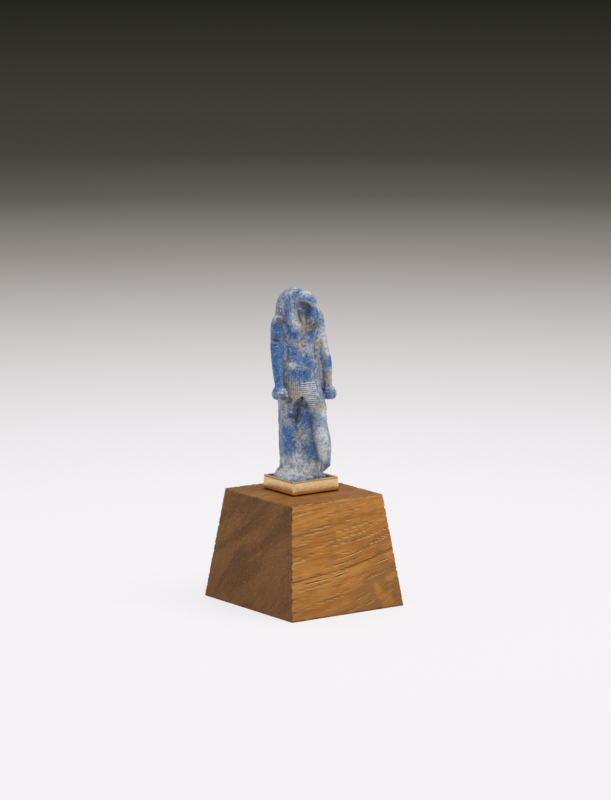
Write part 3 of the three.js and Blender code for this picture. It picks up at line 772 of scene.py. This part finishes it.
HOLLOWS = [
    # middle, size in shares, depth in mm; a depth below nothing is a swelling
    ((1.4, -8.8, 63.8), (1.0, 1.6, 1.0), 0.2),
    ((-15.9, -3.6, 74.0), (2.4, 4.0, 1.3), 0.22),
    ((-15.9, -3.6, 71.4), (2.4, 4.0, 0.9), 0.14),
    ((11.6, -7.4, 45.4), (1.6, 2.4, 1.5), 0.25),
    ((-9.0, -6.6, 41.0), (1.6, 1.8, 1.0), 0.18),
    ((0.2, -8.4, 80.5), (2.0, 3.0, 3.2), 0.08),
    ((-5.2, -8.4, 79.4), (5.0, 4.0, 3.8), -0.2),
    ((5.2, -8.4, 79.4), (5.0, 4.0, 3.8), -0.2),
    ((-0.8, -5.5, 40.5), (3.2, 4.5, 3.0), -0.5),
    ((-5.4, -8.0, 75.6), (5.4, 3.4, 1.9), 0.09),
    ((5.2, -8.0, 75.6), (5.4, 3.4, 1.9), 0.1),
]
for middle, size, deep in HOLLOWS:
    carving -= deep * lump_at(middle, size)
print("with single strokes, deepest in mm:", round(float(-carving.min()), 3))

# %% [markdown]
# Three thousand years of handling leave the stone uneven at every scale. Broad noise makes its planes
# wander, finer noise roughens them, and the lowest parts of another noise become small pits. Edges that
# stand out lose more than the rest, and the plinth's own edges are broken rather than worn.

# %% Wear of the stone
BROAD_WEAR = 0.05
MIDDLE_WEAR = 0.03
FINE_WEAR = 0.014
FOOT_WEAR = 0.11
PIT_DEPTH = 0.07
EDGE_LOSS = 0.9
PLINTH_LOSS = 0.16
PLINTH_HALVES = (10.87, 9.42)
ridge = np.maximum(-hollows_of(figure, 12), 0)
wear = BROAD_WEAR * clouds(net, 2.2, 1, seed=21) + MIDDLE_WEAR * clouds(net, 0.8, 2, seed=22)
wear += FINE_WEAR * clouds(net, 0.24, 2, seed=23)
wear += FOOT_WEAR * (1 - step(Z, 2.5, 8)) * clouds(net, 0.5, 2, seed=27)
pits = step(clouds(net, 0.5, 2, seed=24), 0.38, 0.7)
broken = EDGE_LOSS * ridge * step(clouds(net, 0.9, 2, seed=25), -0.25, 0.35)
plinth = 1 - step(Z, 0.0, 1.2)
top_edge = plinth * (1 - step(np.abs(Z), 0, 1.6))
top_edge *= step(np.maximum(SIDE / PLINTH_HALVES[0], np.abs(Y) / PLINTH_HALVES[1]), 0.9, 1.0)
broken += PLINTH_LOSS * top_edge * step(clouds(net, 0.7, 2, seed=26), -0.1, 0.4)
skin = carving + wear - PIT_DEPTH * pits - broken
place_points(figure, net + net_normals * skin[:, None])
print("stone worn; lowest and highest in mm:", round(float(skin.min()), 2), round(float(skin.max()), 2))

# %% [markdown]
# The net is now finer than a piece may be, so it is thinned where it is flat. After that each point gets
# the values that the stone's colour will read: how deep it lies in a groove or hollow, how raised it is,
# and how near it is to the places where the real stone is bluest, palest or most ochre, to where highlights
# and shade are painted, and to the tab's ribs.

# %% Thinning, and values for the stone's colour
TRIANGLES_KEPT = 188000
finish_modifier(figure, "DECIMATE", ratio=TRIANGLES_KEPT / triangles(figure))
edit(figure)
bpy.ops.mesh.select_all(action="SELECT")
bpy.ops.transform.resize(value=(MM,) * 3, center_override=(0, 0, 0))
hold(figure)
bpy.ops.object.shade_smooth()
own = (points_of(figure) - np.array(figure_foot)) @ np.array(lean) / SHARE
AREAS = {
    # kind: one or two ends of each stroke of colour and its reach, in shares; one end is a round place
    "blue_area": [
        ((-15, -5, 79), (-16.5, -7, 51), 6.0), ((-10, -7, 87), (-7, -4, 95.5), 2.3),
        ((-4, -7.5, 96), (-0.5, -6, 99), 2.2), ((-1.5, -18, 95.5), 2.6),
        ((0.5, -8, 90), (8, -7.5, 85.5), 4.0), ((-8.5, -7, 79), (-6, -7.5, 75), 3.0), ((5, -7.5, 75), 4.0),
        ((-8, -5.5, 69), (-5.5, -7.5, 64), 3.2), ((-0.5, -8.5, 61.5), (3.5, -10, 59.5), 3.0),
        ((-7, -8.5, 56), (-0.5, -10, 54), 3.1), ((16.5, -7.5, 59), 3.0),
        ((10, -10.5, 42), (14.5, -12, 42), 2.4), ((-5, -6.5, 34), (2.5, -8, 30), 4.6),
        ((-8.5, -3.5, 24), (-8, -3, 16), 4.0), ((2, -8, 14), 4.6),
    ],
    # Pale places: partly the stone's white and partly painted highlights, on the wig, shoulders and near
    # fist.
    "pale_and_highlight_area": [
        ((-14, -2.5, 85.5), 3.2), ((-8.5, -4, 92), 2.8), ((-0.5, -12.5, 98.5), 2.6),
        ((-5.5, -9, 87), (-4.5, -10, 82), 3.2), ((-16.5, -9, 49), 3.4), ((-8, -8, 60), 3.2),
        ((-0.5, -12.5, 45), 5.4), ((7.5, -14, 34), 3.4), ((4, -16.5, 22), (3.5, -17, 13), 4.2),
        ((0, -7, 1.5), (-8, 0, 1.5), 9.0), ((-5, -4.5, 7.5), 6.5), ((14, -5.5, 74), (16, -8, 66), 3.6),
    ],
    "ochre_area": [
        ((-3, -7.5, 71), 4.0), ((11.5, -5, 68.5), 3.2), ((2, -7.5, 82.5), (-2.5, -9.5, 79.5), 2.8),
        ((-11.5, -5, 69), (-11.5, -5, 63), 1.6), ((-9, -8, 49), (-6, -9, 42.5), 4.4),
        ((0.5, -12, 38.5), (6.5, -13.5, 38), 2.6), ((16, -8, 51), 3.4),
        ((2.5, -4, 26), (-5.5, -4.5, 20), 2.4), ((-1, -8.5, 84), (2.5, -8.5, 76.5), 3.0),
    ],
    # Brown places: partly stain and partly painted shade under the beak, under the hem, between the legs
    # and below the hands.
    "stain_and_shade_area": [
        ((0.5, -9.5, 92.5), (2.5, -9, 89.5), 2.9), ((-2, -11.5, 92), (1.5, -11, 90.5), 2.3),
        ((-5, -7, 39.5), (1, -4, 38.5), 2.8), ((-4, -5.5, 36), (-5, -6, 30.5), 3.0),
        ((-15.5, -5, 74.5), 2.4), ((-13, -4.5, 83.5), 2.6), ((5.5, -10, 80), 3.2),
        ((-16.5, -11, 44.5), (-9.5, -7, 41), 1.8), ((12, -7, 45), 1.8), ((7, -17.5, 5.5), 2.4),
    ],
}
SURE_SHARE, REACH_SHARE = 0.2, 1.55
UNEVEN = 1 + 0.5 * clouds(own, 3.2, 2, seed=41) + 0.3 * clouds(own, 1.2, 2, seed=42)
for name, strokes in AREAS.items():
    near = [
        1 - step(from_segment(ends[0], ends[-1]) * UNEVEN, SURE_SHARE * reach, REACH_SHARE * reach)
        for *ends, reach in strokes
    ]
    keep_values(figure, name, np.max(near, axis=0))
on_tab, ribs = tab_and_ribs(*own.T)
# The crests and gaps of the tab's ribs, for a painted highlight and a painted shade.
keep_values(figure, "rib_gap_shade", on_tab * groove_wave(ribs, 2))
keep_values(figure, "rib_crest_highlight", on_tab * groove_wave(ribs + np.pi, 2))
low = hollows_of(figure, 8)
broad_low = hollows_of(figure, 60)
# How deep each point lies in a groove, where dust and painted shade go.
keep_values(figure, "hollow", step(low, 0.004 * MM, 0.03 * MM))
# How deep each point lies in a broad hollow, for a painted brown shade.
keep_values(figure, "deep", step(broad_low, 0.05 * MM, 0.4 * MM))
# How raised each point is, for a painted highlight on the edges.
keep_values(figure, "edge", step(-low, 0.035 * MM, 0.1 * MM))
print("figure triangles:", triangles(figure))

# %% [markdown]
# ## Lapis lazuli
# Lapis is not one blue. It is a rock of blue grains, white calcite and a little gold-brown pyrite, and
# handling has greyed it. So the material starts as a pale grey-blue, and patches of deeper blue, of white
# and of ochre are painted over it in turn. The named areas push each kind of patch to where the real
# figure has it; the pale areas also hold painted highlights, and the brown ones stain and painted shade.
# Raised edges get a painted highlight, the grooves dust and painted shade, the deepest hollows a painted
# brown shade, and the tab's ribs painted highlights and painted shade.

# %% The stone's material
lapis, tree, shader, place = start_material("lapis_lazuli")
GROUND = srgb(144, 153, 162)
MIDDLE_BLUE = srgb(78, 114, 158)
STRONG_BLUE = srgb(8, 92, 160)
PALE_AND_HIGHLIGHT = srgb(226, 226, 222)
OCHRE = srgb(172, 154, 122)
BROWN_STAIN_AND_SHADE = srgb(62, 52, 44)
DEEP_BLUE_AND_SHADE = srgb(34, 62, 112)
DUST_AND_SHADE = srgb(52, 48, 46)
DEEP_HOLLOW_SHADE = srgb(132, 116, 90)
LAYERS = [
    # kind of place, soft tint, push, colour, patches per mm, edges, warp, shift in metres, strength
    (None, 0, 0, MIDDLE_BLUE, 0.6, (0.42, 0.6), 0.8, 0.0, 0.8),
    (None, 0, 0, PALE_AND_HIGHLIGHT, 2.8, (0.5, 0.68), 0.6, 0.023, 0.5),
    # Pale stone and painted highlights.
    ("pale_and_highlight_area", 0.42, 0.26, PALE_AND_HIGHLIGHT, 1.1, (0.58, 0.84), 0.9, 0.013, 0.75),
    ("ochre_area", 0.72, 0.28, OCHRE, 1.2, (0.6, 0.82), 0.8, 0.031, 0.75),
    (None, 0, 0, PALE_AND_HIGHLIGHT, 2.4, (0.54, 0.7), 0.7, 0.043, 0.5),
    ("blue_area", 0.6, 0.28, STRONG_BLUE, 1.3, (0.6, 0.84), 1.0, 0.0, 0.8),
    (None, 0, 0, DEEP_BLUE_AND_SHADE, 1.8, (0.56, 0.74), 0.9, 0.071, 0.4),
    (None, 0, 0, STRONG_BLUE, 1.5, (0.54, 0.7), 0.9, 0.057, 0.5),
    (None, 0, 0, STRONG_BLUE, 3.0, (0.5, 0.64), 0.7, 0.007, 0.55),
    (None, 0, 0, PALE_AND_HIGHLIGHT, 1.9, (0.56, 0.74), 0.9, 0.037, 0.5),
    (None, 0, 0, OCHRE, 3.4, (0.56, 0.72), 0.3, 0.019, 0.45),
    # Brown stain and painted shade.
    ("stain_and_shade_area", 0.6, 0.3, BROWN_STAIN_AND_SHADE, 1.8, (0.64, 0.86), 0.6, 0.047, 0.75),
]
colour = GROUND
for kind, tint, push, over, per_mm, edges, warp, shift, strength in LAYERS:
    pushed = 0.0
    if kind:
        colour = paint(tree, colour, over, kept(tree, kind), tint)
        pushed = worked_out(tree, "MULTIPLY", kept(tree, kind), push)
    moved = mapped(tree, place, shift=(shift, 2 * shift, 3 * shift))
    colour = paint(tree, colour, over, patch_mask(tree, moved, per_mm, *edges, warp, pushed), strength)
# Painted highlight on the crests of the tab's ribs and painted shade in their gaps.
colour = paint(tree, colour, PALE_AND_HIGHLIGHT, kept(tree, "rib_crest_highlight"), 0.75)
colour = paint(tree, colour, DEEP_BLUE_AND_SHADE, kept(tree, "rib_gap_shade"), 0.75)
speckle = patch_mask(tree, place, 5.0, 0.5, 0.72, 0.0, detail=2.0)
colour = paint(tree, colour, PALE_AND_HIGHLIGHT, speckle, 0.15)
# Painted highlight on raised edges.
colour = paint(tree, colour, PALE_AND_HIGHLIGHT, kept(tree, "edge"), 0.4)
less_in_pale = worked_out(tree, "MULTIPLY_ADD", kept(tree, "pale_and_highlight_area"), -0.6, 1.0)
hollow = worked_out(tree, "MULTIPLY", kept(tree, "hollow"), less_in_pale)
# Dust and painted shade in the grooves, kept fainter in the pale places.
colour = paint(tree, colour, DUST_AND_SHADE, dust_and_shade_mask(tree, place, hollow, 0.9, 3.0), 0.62)
# Painted brown shade in the deepest hollows, such as under the hem and between the legs.
colour = paint(tree, colour, DEEP_HOLLOW_SHADE, kept(tree, "deep"), 0.6)
grit = add_node(tree, "ShaderNodeTexNoise", {"Vector": place, "Scale": 9 / MM, "Detail": 3.0})
set_inputs(tree, shader, {
    "Base Color": colour, "Roughness": ranged(tree, speckle, 0, 1, 0.42, 0.6, "LINEAR"),
    "Normal": bumped(tree, grit.outputs["Fac"], 0.35, 0.02 * MM),
})
figure.data.materials.clear()
figure.data.materials.append(lapis)
print("lapis nodes:", len(tree.nodes))

# %% [markdown]
# ## Gold sheet
# Polished gold takes most of its look from what it mirrors: the white ground in its upper part and the
# brown wood in its lower part. So the material is plain metal with a warm base, soft scratches along the
# sheet, a few broad dents as bump, and painted shade in the corner under the foot and inside the rim.

# %% The tray's material
gold, tree, shader, place = start_material("gold_sheet")
shader.inputs["Metallic"].default_value = 1.0
GOLD = srgb(244, 208, 156)
GOLD_DEEP = srgb(232, 190, 130)
GOLD_SHADE = srgb(92, 66, 36)
colour = paint(tree, GOLD, GOLD_DEEP, patch_mask(tree, place, 0.45, 0.4, 0.65, 0.6), 0.6)
# Painted shade at the foot and inside the rim.
colour = paint(tree, colour, GOLD_SHADE, dust_and_shade_mask(tree, place, kept(tree, "hollow"), 0.8, 2.5), 0.8)
brushed = mapped(tree, place, scale=(0.12, 0.12, 1))
scratches = patch_mask(tree, brushed, 9.0, 0.45, 0.75, 0.0)
dents = add_node(tree, "ShaderNodeTexNoise", {"Vector": place, "Scale": 0.5 / MM, "Detail": 1.0})
dented = bumped(tree, dents.outputs["Fac"], 0.5, 0.035 * MM)
set_inputs(tree, shader, {
    "Base Color": colour, "Roughness": ranged(tree, scratches, 0, 1, 0.18, 0.3, "LINEAR"),
    "Normal": bumped(tree, scratches, 0.3, 0.004 * MM, Normal=dented),
})
tray.data.materials.append(gold)
print("gold nodes:", len(tree.nodes))

# %% [markdown]
# ## Walnut
# The wood's colour follows its growth, not its faces. The same long, stretched patterns run through the
# whole block, tilted a few degrees like the grain in the mesh, so the streaks on the front meet the bands
# on the top. The two end faces cut across the grain: they are darker, drink more light, and show pores
# as pale dots in slanting bands instead of streaks. Light is painted in as well: the top face is painted
# darker, splits and cracks get a painted highlight on their lower lip, and painted shadow lies round the
# tray's foot and along the block's foot.

# %% The wood's material
walnut, tree, shader, place = start_material("walnut_wood")
BROWN = srgb(164, 107, 50)
HONEY = srgb(194, 134, 68)
DARK_STREAK = srgb(98, 58, 28)
LIGHT_STREAK_AND_HIGHLIGHT = srgb(218, 172, 108)
END_BROWN = srgb(126, 88, 52)
END_DARK = srgb(90, 60, 38)
PORE_DOT = srgb(176, 130, 78)
TOP_SHADE = srgb(96, 50, 8)
WOOD_SPECULAR = 0.1
SPLIT_AND_SHADOW = srgb(52, 30, 16)


def grain_place(tree, place, stretch, lower=0.0, shift=0.0):
    """The place as the grain sees it: short along the fibre, and with the kept grain height as height."""
    parts = parts_of(tree, place)
    along = worked_out(tree, "MULTIPLY", parts["X"], stretch)
    height = worked_out(tree, "MULTIPLY_ADD", kept(tree, "grain_height"), GRAIN_ROOM, shift - lower)
    return add_node(tree, "ShaderNodeCombineXYZ", {"X": along, "Y": parts["Y"], "Z": height}).outputs[0]


def split_with_painted_lip(tree, colour, dark_at, bright_at, dark, bright):
    """A split: dark inside, partly its own dark and partly painted shade, with a painted highlight on its
    lower lip.
    """
    colour = paint(tree, colour, LIGHT_STREAK_AND_HIGHLIGHT, bright_at, bright)
    return paint(tree, colour, SPLIT_AND_SHADOW, dark_at, dark)


soft = patch_mask(tree, grain_place(tree, place, 0.12), 0.32, 0.36, 0.64, 0.5)
colour = paint(tree, BROWN, HONEY, soft, 0.9)
mottle = patch_mask(tree, mapped(tree, place, scale=(0.4, 0.4, 1)), 1.6, 0.46, 0.7, 0.4)
colour = paint(tree, colour, DARK_STREAK, mottle, 0.22)
greyed = patch_mask(tree, grain_place(tree, place, 0.2, shift=0.03), 0.3, 0.56, 0.7, 0.8)
colour = paint(tree, colour, END_BROWN, greyed, 0.35)
fine_dark = patch_mask(tree, grain_place(tree, place, 0.06, shift=0.011), 4.6, 0.48, 0.72, 0.0)
colour = paint(tree, colour, DARK_STREAK, fine_dark, 0.58)
colour = paint(tree, colour, END_BROWN, kept(tree, "low_right"), 0.65)
fine_light = patch_mask(tree, grain_place(tree, place, 0.08, shift=0.017), 4.0, 0.56, 0.74, 0.0)
colour = paint(tree, colour, LIGHT_STREAK_AND_HIGHLIGHT, fine_light, 0.32)
cracks = [
    patch_mask(tree, grain_place(tree, place, 0.05, lower, 0.023), 2.3, 0.63, 0.68, 0.2)
    for lower in (0.0, -0.11 * MM)
]
more = worked_out(tree, "MULTIPLY", kept(tree, "low_right"), 0.16)
crowded = patch_mask(tree, grain_place(tree, place, 0.4, shift=0.05), 0.42, 0.42, 0.58, 0.6, more)
cracks = [worked_out(tree, "MULTIPLY", crack, crowded) for crack in cracks]
# Painted cracks: a dark line with a painted highlight on the lip below it; the splits in the mesh get the
# same.
colour = split_with_painted_lip(tree, colour, cracks[0], cracks[1], 0.75, 0.9)
colour = split_with_painted_lip(tree, colour, kept(tree, "split"), kept(tree, "flake"), 0.4, 0.6)
colour = paint(tree, colour, SPLIT_AND_SHADOW, kept(tree, "seam"), 0.85)
facing = parts_of(tree, add_node(tree, "ShaderNodeTexCoord").outputs["Normal"])
# The top face is painted darker by which way it faces: a painted shade.
colour = paint(tree, colour, TOP_SHADE, ranged(tree, facing["Z"], 0.5, 0.9), 0.46)
# Painted shadow of the tray on the wood's top, round its foot.
colour = paint(tree, colour, SPLIT_AND_SHADOW, kept(tree, "tray_shade"), 0.85)
end_mask = ranged(tree, worked_out(tree, "ABSOLUTE", facing["X"]), 0.6, 0.85)
banded = mapped(tree, mapped(tree, place, turn=(math.radians(38), 0, 0)), scale=(0.3, 0.25, 1))
END_LAYERS = [
    # pattern's place, patches per mm, edges, warp, detail, colour, strength
    (banded, 0.3, (0.42, 0.62), 0.6, 3.0, END_DARK, 0.75),
    (banded, 2.2, (0.46, 0.7), 0.2, 3.0, END_DARK, 0.4),
    (place, 5.2, (0.54, 0.68), 0.0, 1.0, PORE_DOT, 0.42),
    (place, 4.2, (0.56, 0.7), 0.0, 1.0, END_DARK, 0.4),
]
end_colour = END_BROWN
for where, per_mm, edges, warp, detail, over, strength in END_LAYERS:
    mask = patch_mask(tree, where, per_mm, *edges, warp, detail=detail)
    end_colour = paint(tree, end_colour, over, mask, strength)
colour = paint(tree, colour, end_colour, end_mask)
colour = paint(tree, colour, SPLIT_AND_SHADOW, kept(tree, "chip"), 0.35)
height = parts_of(tree, place)["Z"]
colour = paint(tree, colour, DARK_STREAK, ranged(tree, height, 10 * MM, -2 * MM), 0.3)
# Painted shadow along the foot of the block.
painted_foot_shade = ranged(tree, height, 0.34 * MM, 0.05 * MM, kind="LINEAR")
colour = paint(tree, colour, SPLIT_AND_SHADOW, painted_foot_shade, 0.75)
colour = paint(tree, colour, LIGHT_STREAK_AND_HIGHLIGHT, kept(tree, "edge"), 0.22)
fibres = patch_mask(tree, grain_place(tree, place, 0.1, shift=0.011), 4.2, 0.4, 0.7, 0.0)
set_inputs(tree, shader, {
    "Base Color": colour, "Roughness": ranged(tree, fibres, 0, 1, 0.48, 0.66, "LINEAR"),
    "Normal": bumped(tree, fibres, 0.4, 0.02 * MM), "Specular IOR Level": WOOD_SPECULAR,
})
block.data.materials.append(walnut)
print("walnut nodes:", len(tree.nodes))

# %% [markdown]
# Each new piece now takes the place of its solid. The solids stay in the file, unseen, for collision.

# %% The pieces take their solids' places
for piece, node, slot in (
    (figure, "figure", "lapis_lazuli"),
    (tray, "gold_tray", "gold_sheet"),
    (block, "wood_block", "walnut_wood"),
):
    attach(piece, "root")
    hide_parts(node)
print("triangles in all:", sum(triangles(piece) for piece in (figure, tray, block)))

# %% [markdown]
# ## The studio
# The photograph was taken on a wide white ground that falls away into darkness behind the object, in
# bright, soft light with almost no shadow. The ground is given a glow of its own, which is painted light,
# and its glow and colour are painted darker with distance behind the object, as a studio's light falls
# off. In front, where the lamps of a studio stand, the painted glow stays bright for longer, and the gold
# mirrors that. The sky is brightest overhead, which darkens what lies under the beak, the chest and the
# kilt, and the camera sees it black. One large, soft lamp far to the front right makes that side of the
# wood and the gold brighter.

# %% The ground
VIEW_TURN = math.radians(-35.319)
GROUND_RADIUS = 1.6
GROUND_LIGHT_FALLOFF = [
    # distance in metres, colour in the picture
    (0.0, (247, 245, 247)), (0.09, (243, 241, 244)), (0.14, (236, 233, 236)), (0.21, (215, 211, 211)),
    (0.34, (149, 144, 139)), (0.43, (96, 94, 87)), (0.51, (68, 67, 61)), (0.9, (37, 38, 30)),
    (1.6, (20, 20, 16)),
]
IN_FRONT = 0.4
FRONT_EDGE, BACK_EDGE = -0.03, 0.06
GLOW = 0.8
GIVEN_BACK = 0.17
bpy.ops.object.select_all(action="DESELECT")
bpy.ops.mesh.primitive_circle_add(vertices=96, radius=GROUND_RADIUS, fill_type="NGON", location=(0, 0, 0))
ground = bpy.context.active_object
ground.name = "studio_ground"
paper, tree, shader, place = start_material("studio_paper")
squares = [worked_out(tree, "POWER", parts_of(tree, place)[axis], 2.0) for axis in "XY"]
distance = worked_out(tree, "SQRT", worked_out(tree, "ADD", *squares))
depth = parts_of(tree, mapped(tree, place, turn=(0, 0, -VIEW_TURN)))["Y"]
counted = ranged(tree, depth, FRONT_EDGE, BACK_EDGE, IN_FRONT / GROUND_RADIUS, 1 / GROUND_RADIUS)
share = worked_out(tree, "MULTIPLY", distance, counted)
ramp = add_node(tree, "ShaderNodeValToRGB", {"Fac": share})
stops = ramp.color_ramp.elements
for count, (reach, shown) in enumerate(GROUND_LIGHT_FALLOFF):
    stop = stops[count] if count < 2 else stops.new(reach / GROUND_RADIUS)
    stop.position = reach / GROUND_RADIUS
    stop.color = srgb(*shown)
painted_falloff = ramp.outputs["Color"]
# The ground's glow and its darkening with distance are painted light.
set_inputs(tree, shader, {
    "Base Color": paint(tree, (0, 0, 0, 1), painted_falloff, GIVEN_BACK), "Emission Color": painted_falloff,
    "Emission Strength": GLOW, "Roughness": 1.0, "Specular IOR Level": 0.0,
})
ground.data.materials.append(paper)

# %% The light
SKY_AT_GROUND = 0.25
SKY_OVERHEAD = 1.25
LAMP_DISTANCE = 1.8
LAMP_SIZE = 0.9
LAMP_POWER = 11.0
LAMP_FROM = math.radians(40)
LAMP_HEIGHT = math.radians(50)
world = bpy.data.worlds.new("studio_sky")
bpy.context.scene.world = world
world.use_nodes = True
sky = world.node_tree
sky.nodes.clear()
seen = sky.nodes.new("ShaderNodeLightPath").outputs["Is Camera Ray"]
towards = add_node(sky, "ShaderNodeTexCoord").outputs["Generated"]
glow = ranged(sky, parts_of(sky, towards)["Z"], 0, 1, SKY_AT_GROUND, SKY_OVERHEAD, "LINEAR")
bright = add_node(sky, "ShaderNodeBackground", {"Color": (1, 1, 1, 1), "Strength": glow})
dark = add_node(sky, "ShaderNodeBackground", {"Color": (0.01, 0.01, 0.01, 1), "Strength": 1.0})
either = add_node(sky, "ShaderNodeMixShader", {0: seen, 1: bright.outputs[0], 2: dark.outputs[0]})
sky.links.new(either.outputs[0], sky.nodes.new("ShaderNodeOutputWorld").inputs["Surface"])


def way_to(turn, height):
    """The way from the object to a lamp or camera; turn 0 is in front, and a positive turn is right."""
    return Vector((math.sin(turn) * math.cos(height), -math.cos(turn) * math.cos(height), math.sin(height)))


def stand(name, data, aim, turn, height, away):
    """Stands a lamp or camera some way from the place that it looks at."""
    made = bpy.data.objects.new(name, data)
    made.location = aim + way_to(turn, height) * away
    made.rotation_euler = (math.pi / 2 - height, 0, turn)
    bpy.context.scene.collection.objects.link(made)
    print(name, "stands at, in mm:", [round(v / MM) for v in made.location])
    return made


lamp = bpy.data.lights.new("key_lamp", "AREA")
lamp.size = LAMP_SIZE
lamp.energy = LAMP_POWER
stand("key_lamp", lamp, Vector((0, 0, figure_top / 2)), LAMP_FROM, LAMP_HEIGHT, LAMP_DISTANCE)

# %% [markdown]
# The camera stands where the photographer's stood, worked out from the edges of the tray and the block: a
# long lens, a little above the object, seen from its front left.

# %% The camera
CAMERA_HEIGHT = math.radians(10.303)
CAMERA_AWAY = 696.373 * MM
CAMERA_RIGHT = 0.253 * MM
CAMERA_UP = 29.775 * MM
lens = bpy.data.cameras.new("photo_camera")
lens.lens = 216
lens.sensor_width = 36
lens.clip_start = 0.05
lens.clip_end = 10
lens.dof.use_dof = False
right = Vector((math.cos(VIEW_TURN), math.sin(VIEW_TURN), 0))
aim = right * CAMERA_RIGHT + Vector((0, 0, CAMERA_UP))
camera = stand("photo_camera", lens, aim, VIEW_TURN, CAMERA_HEIGHT, CAMERA_AWAY)
bpy.context.scene.camera = camera
bpy.context.scene.view_settings.view_transform = "Standard"
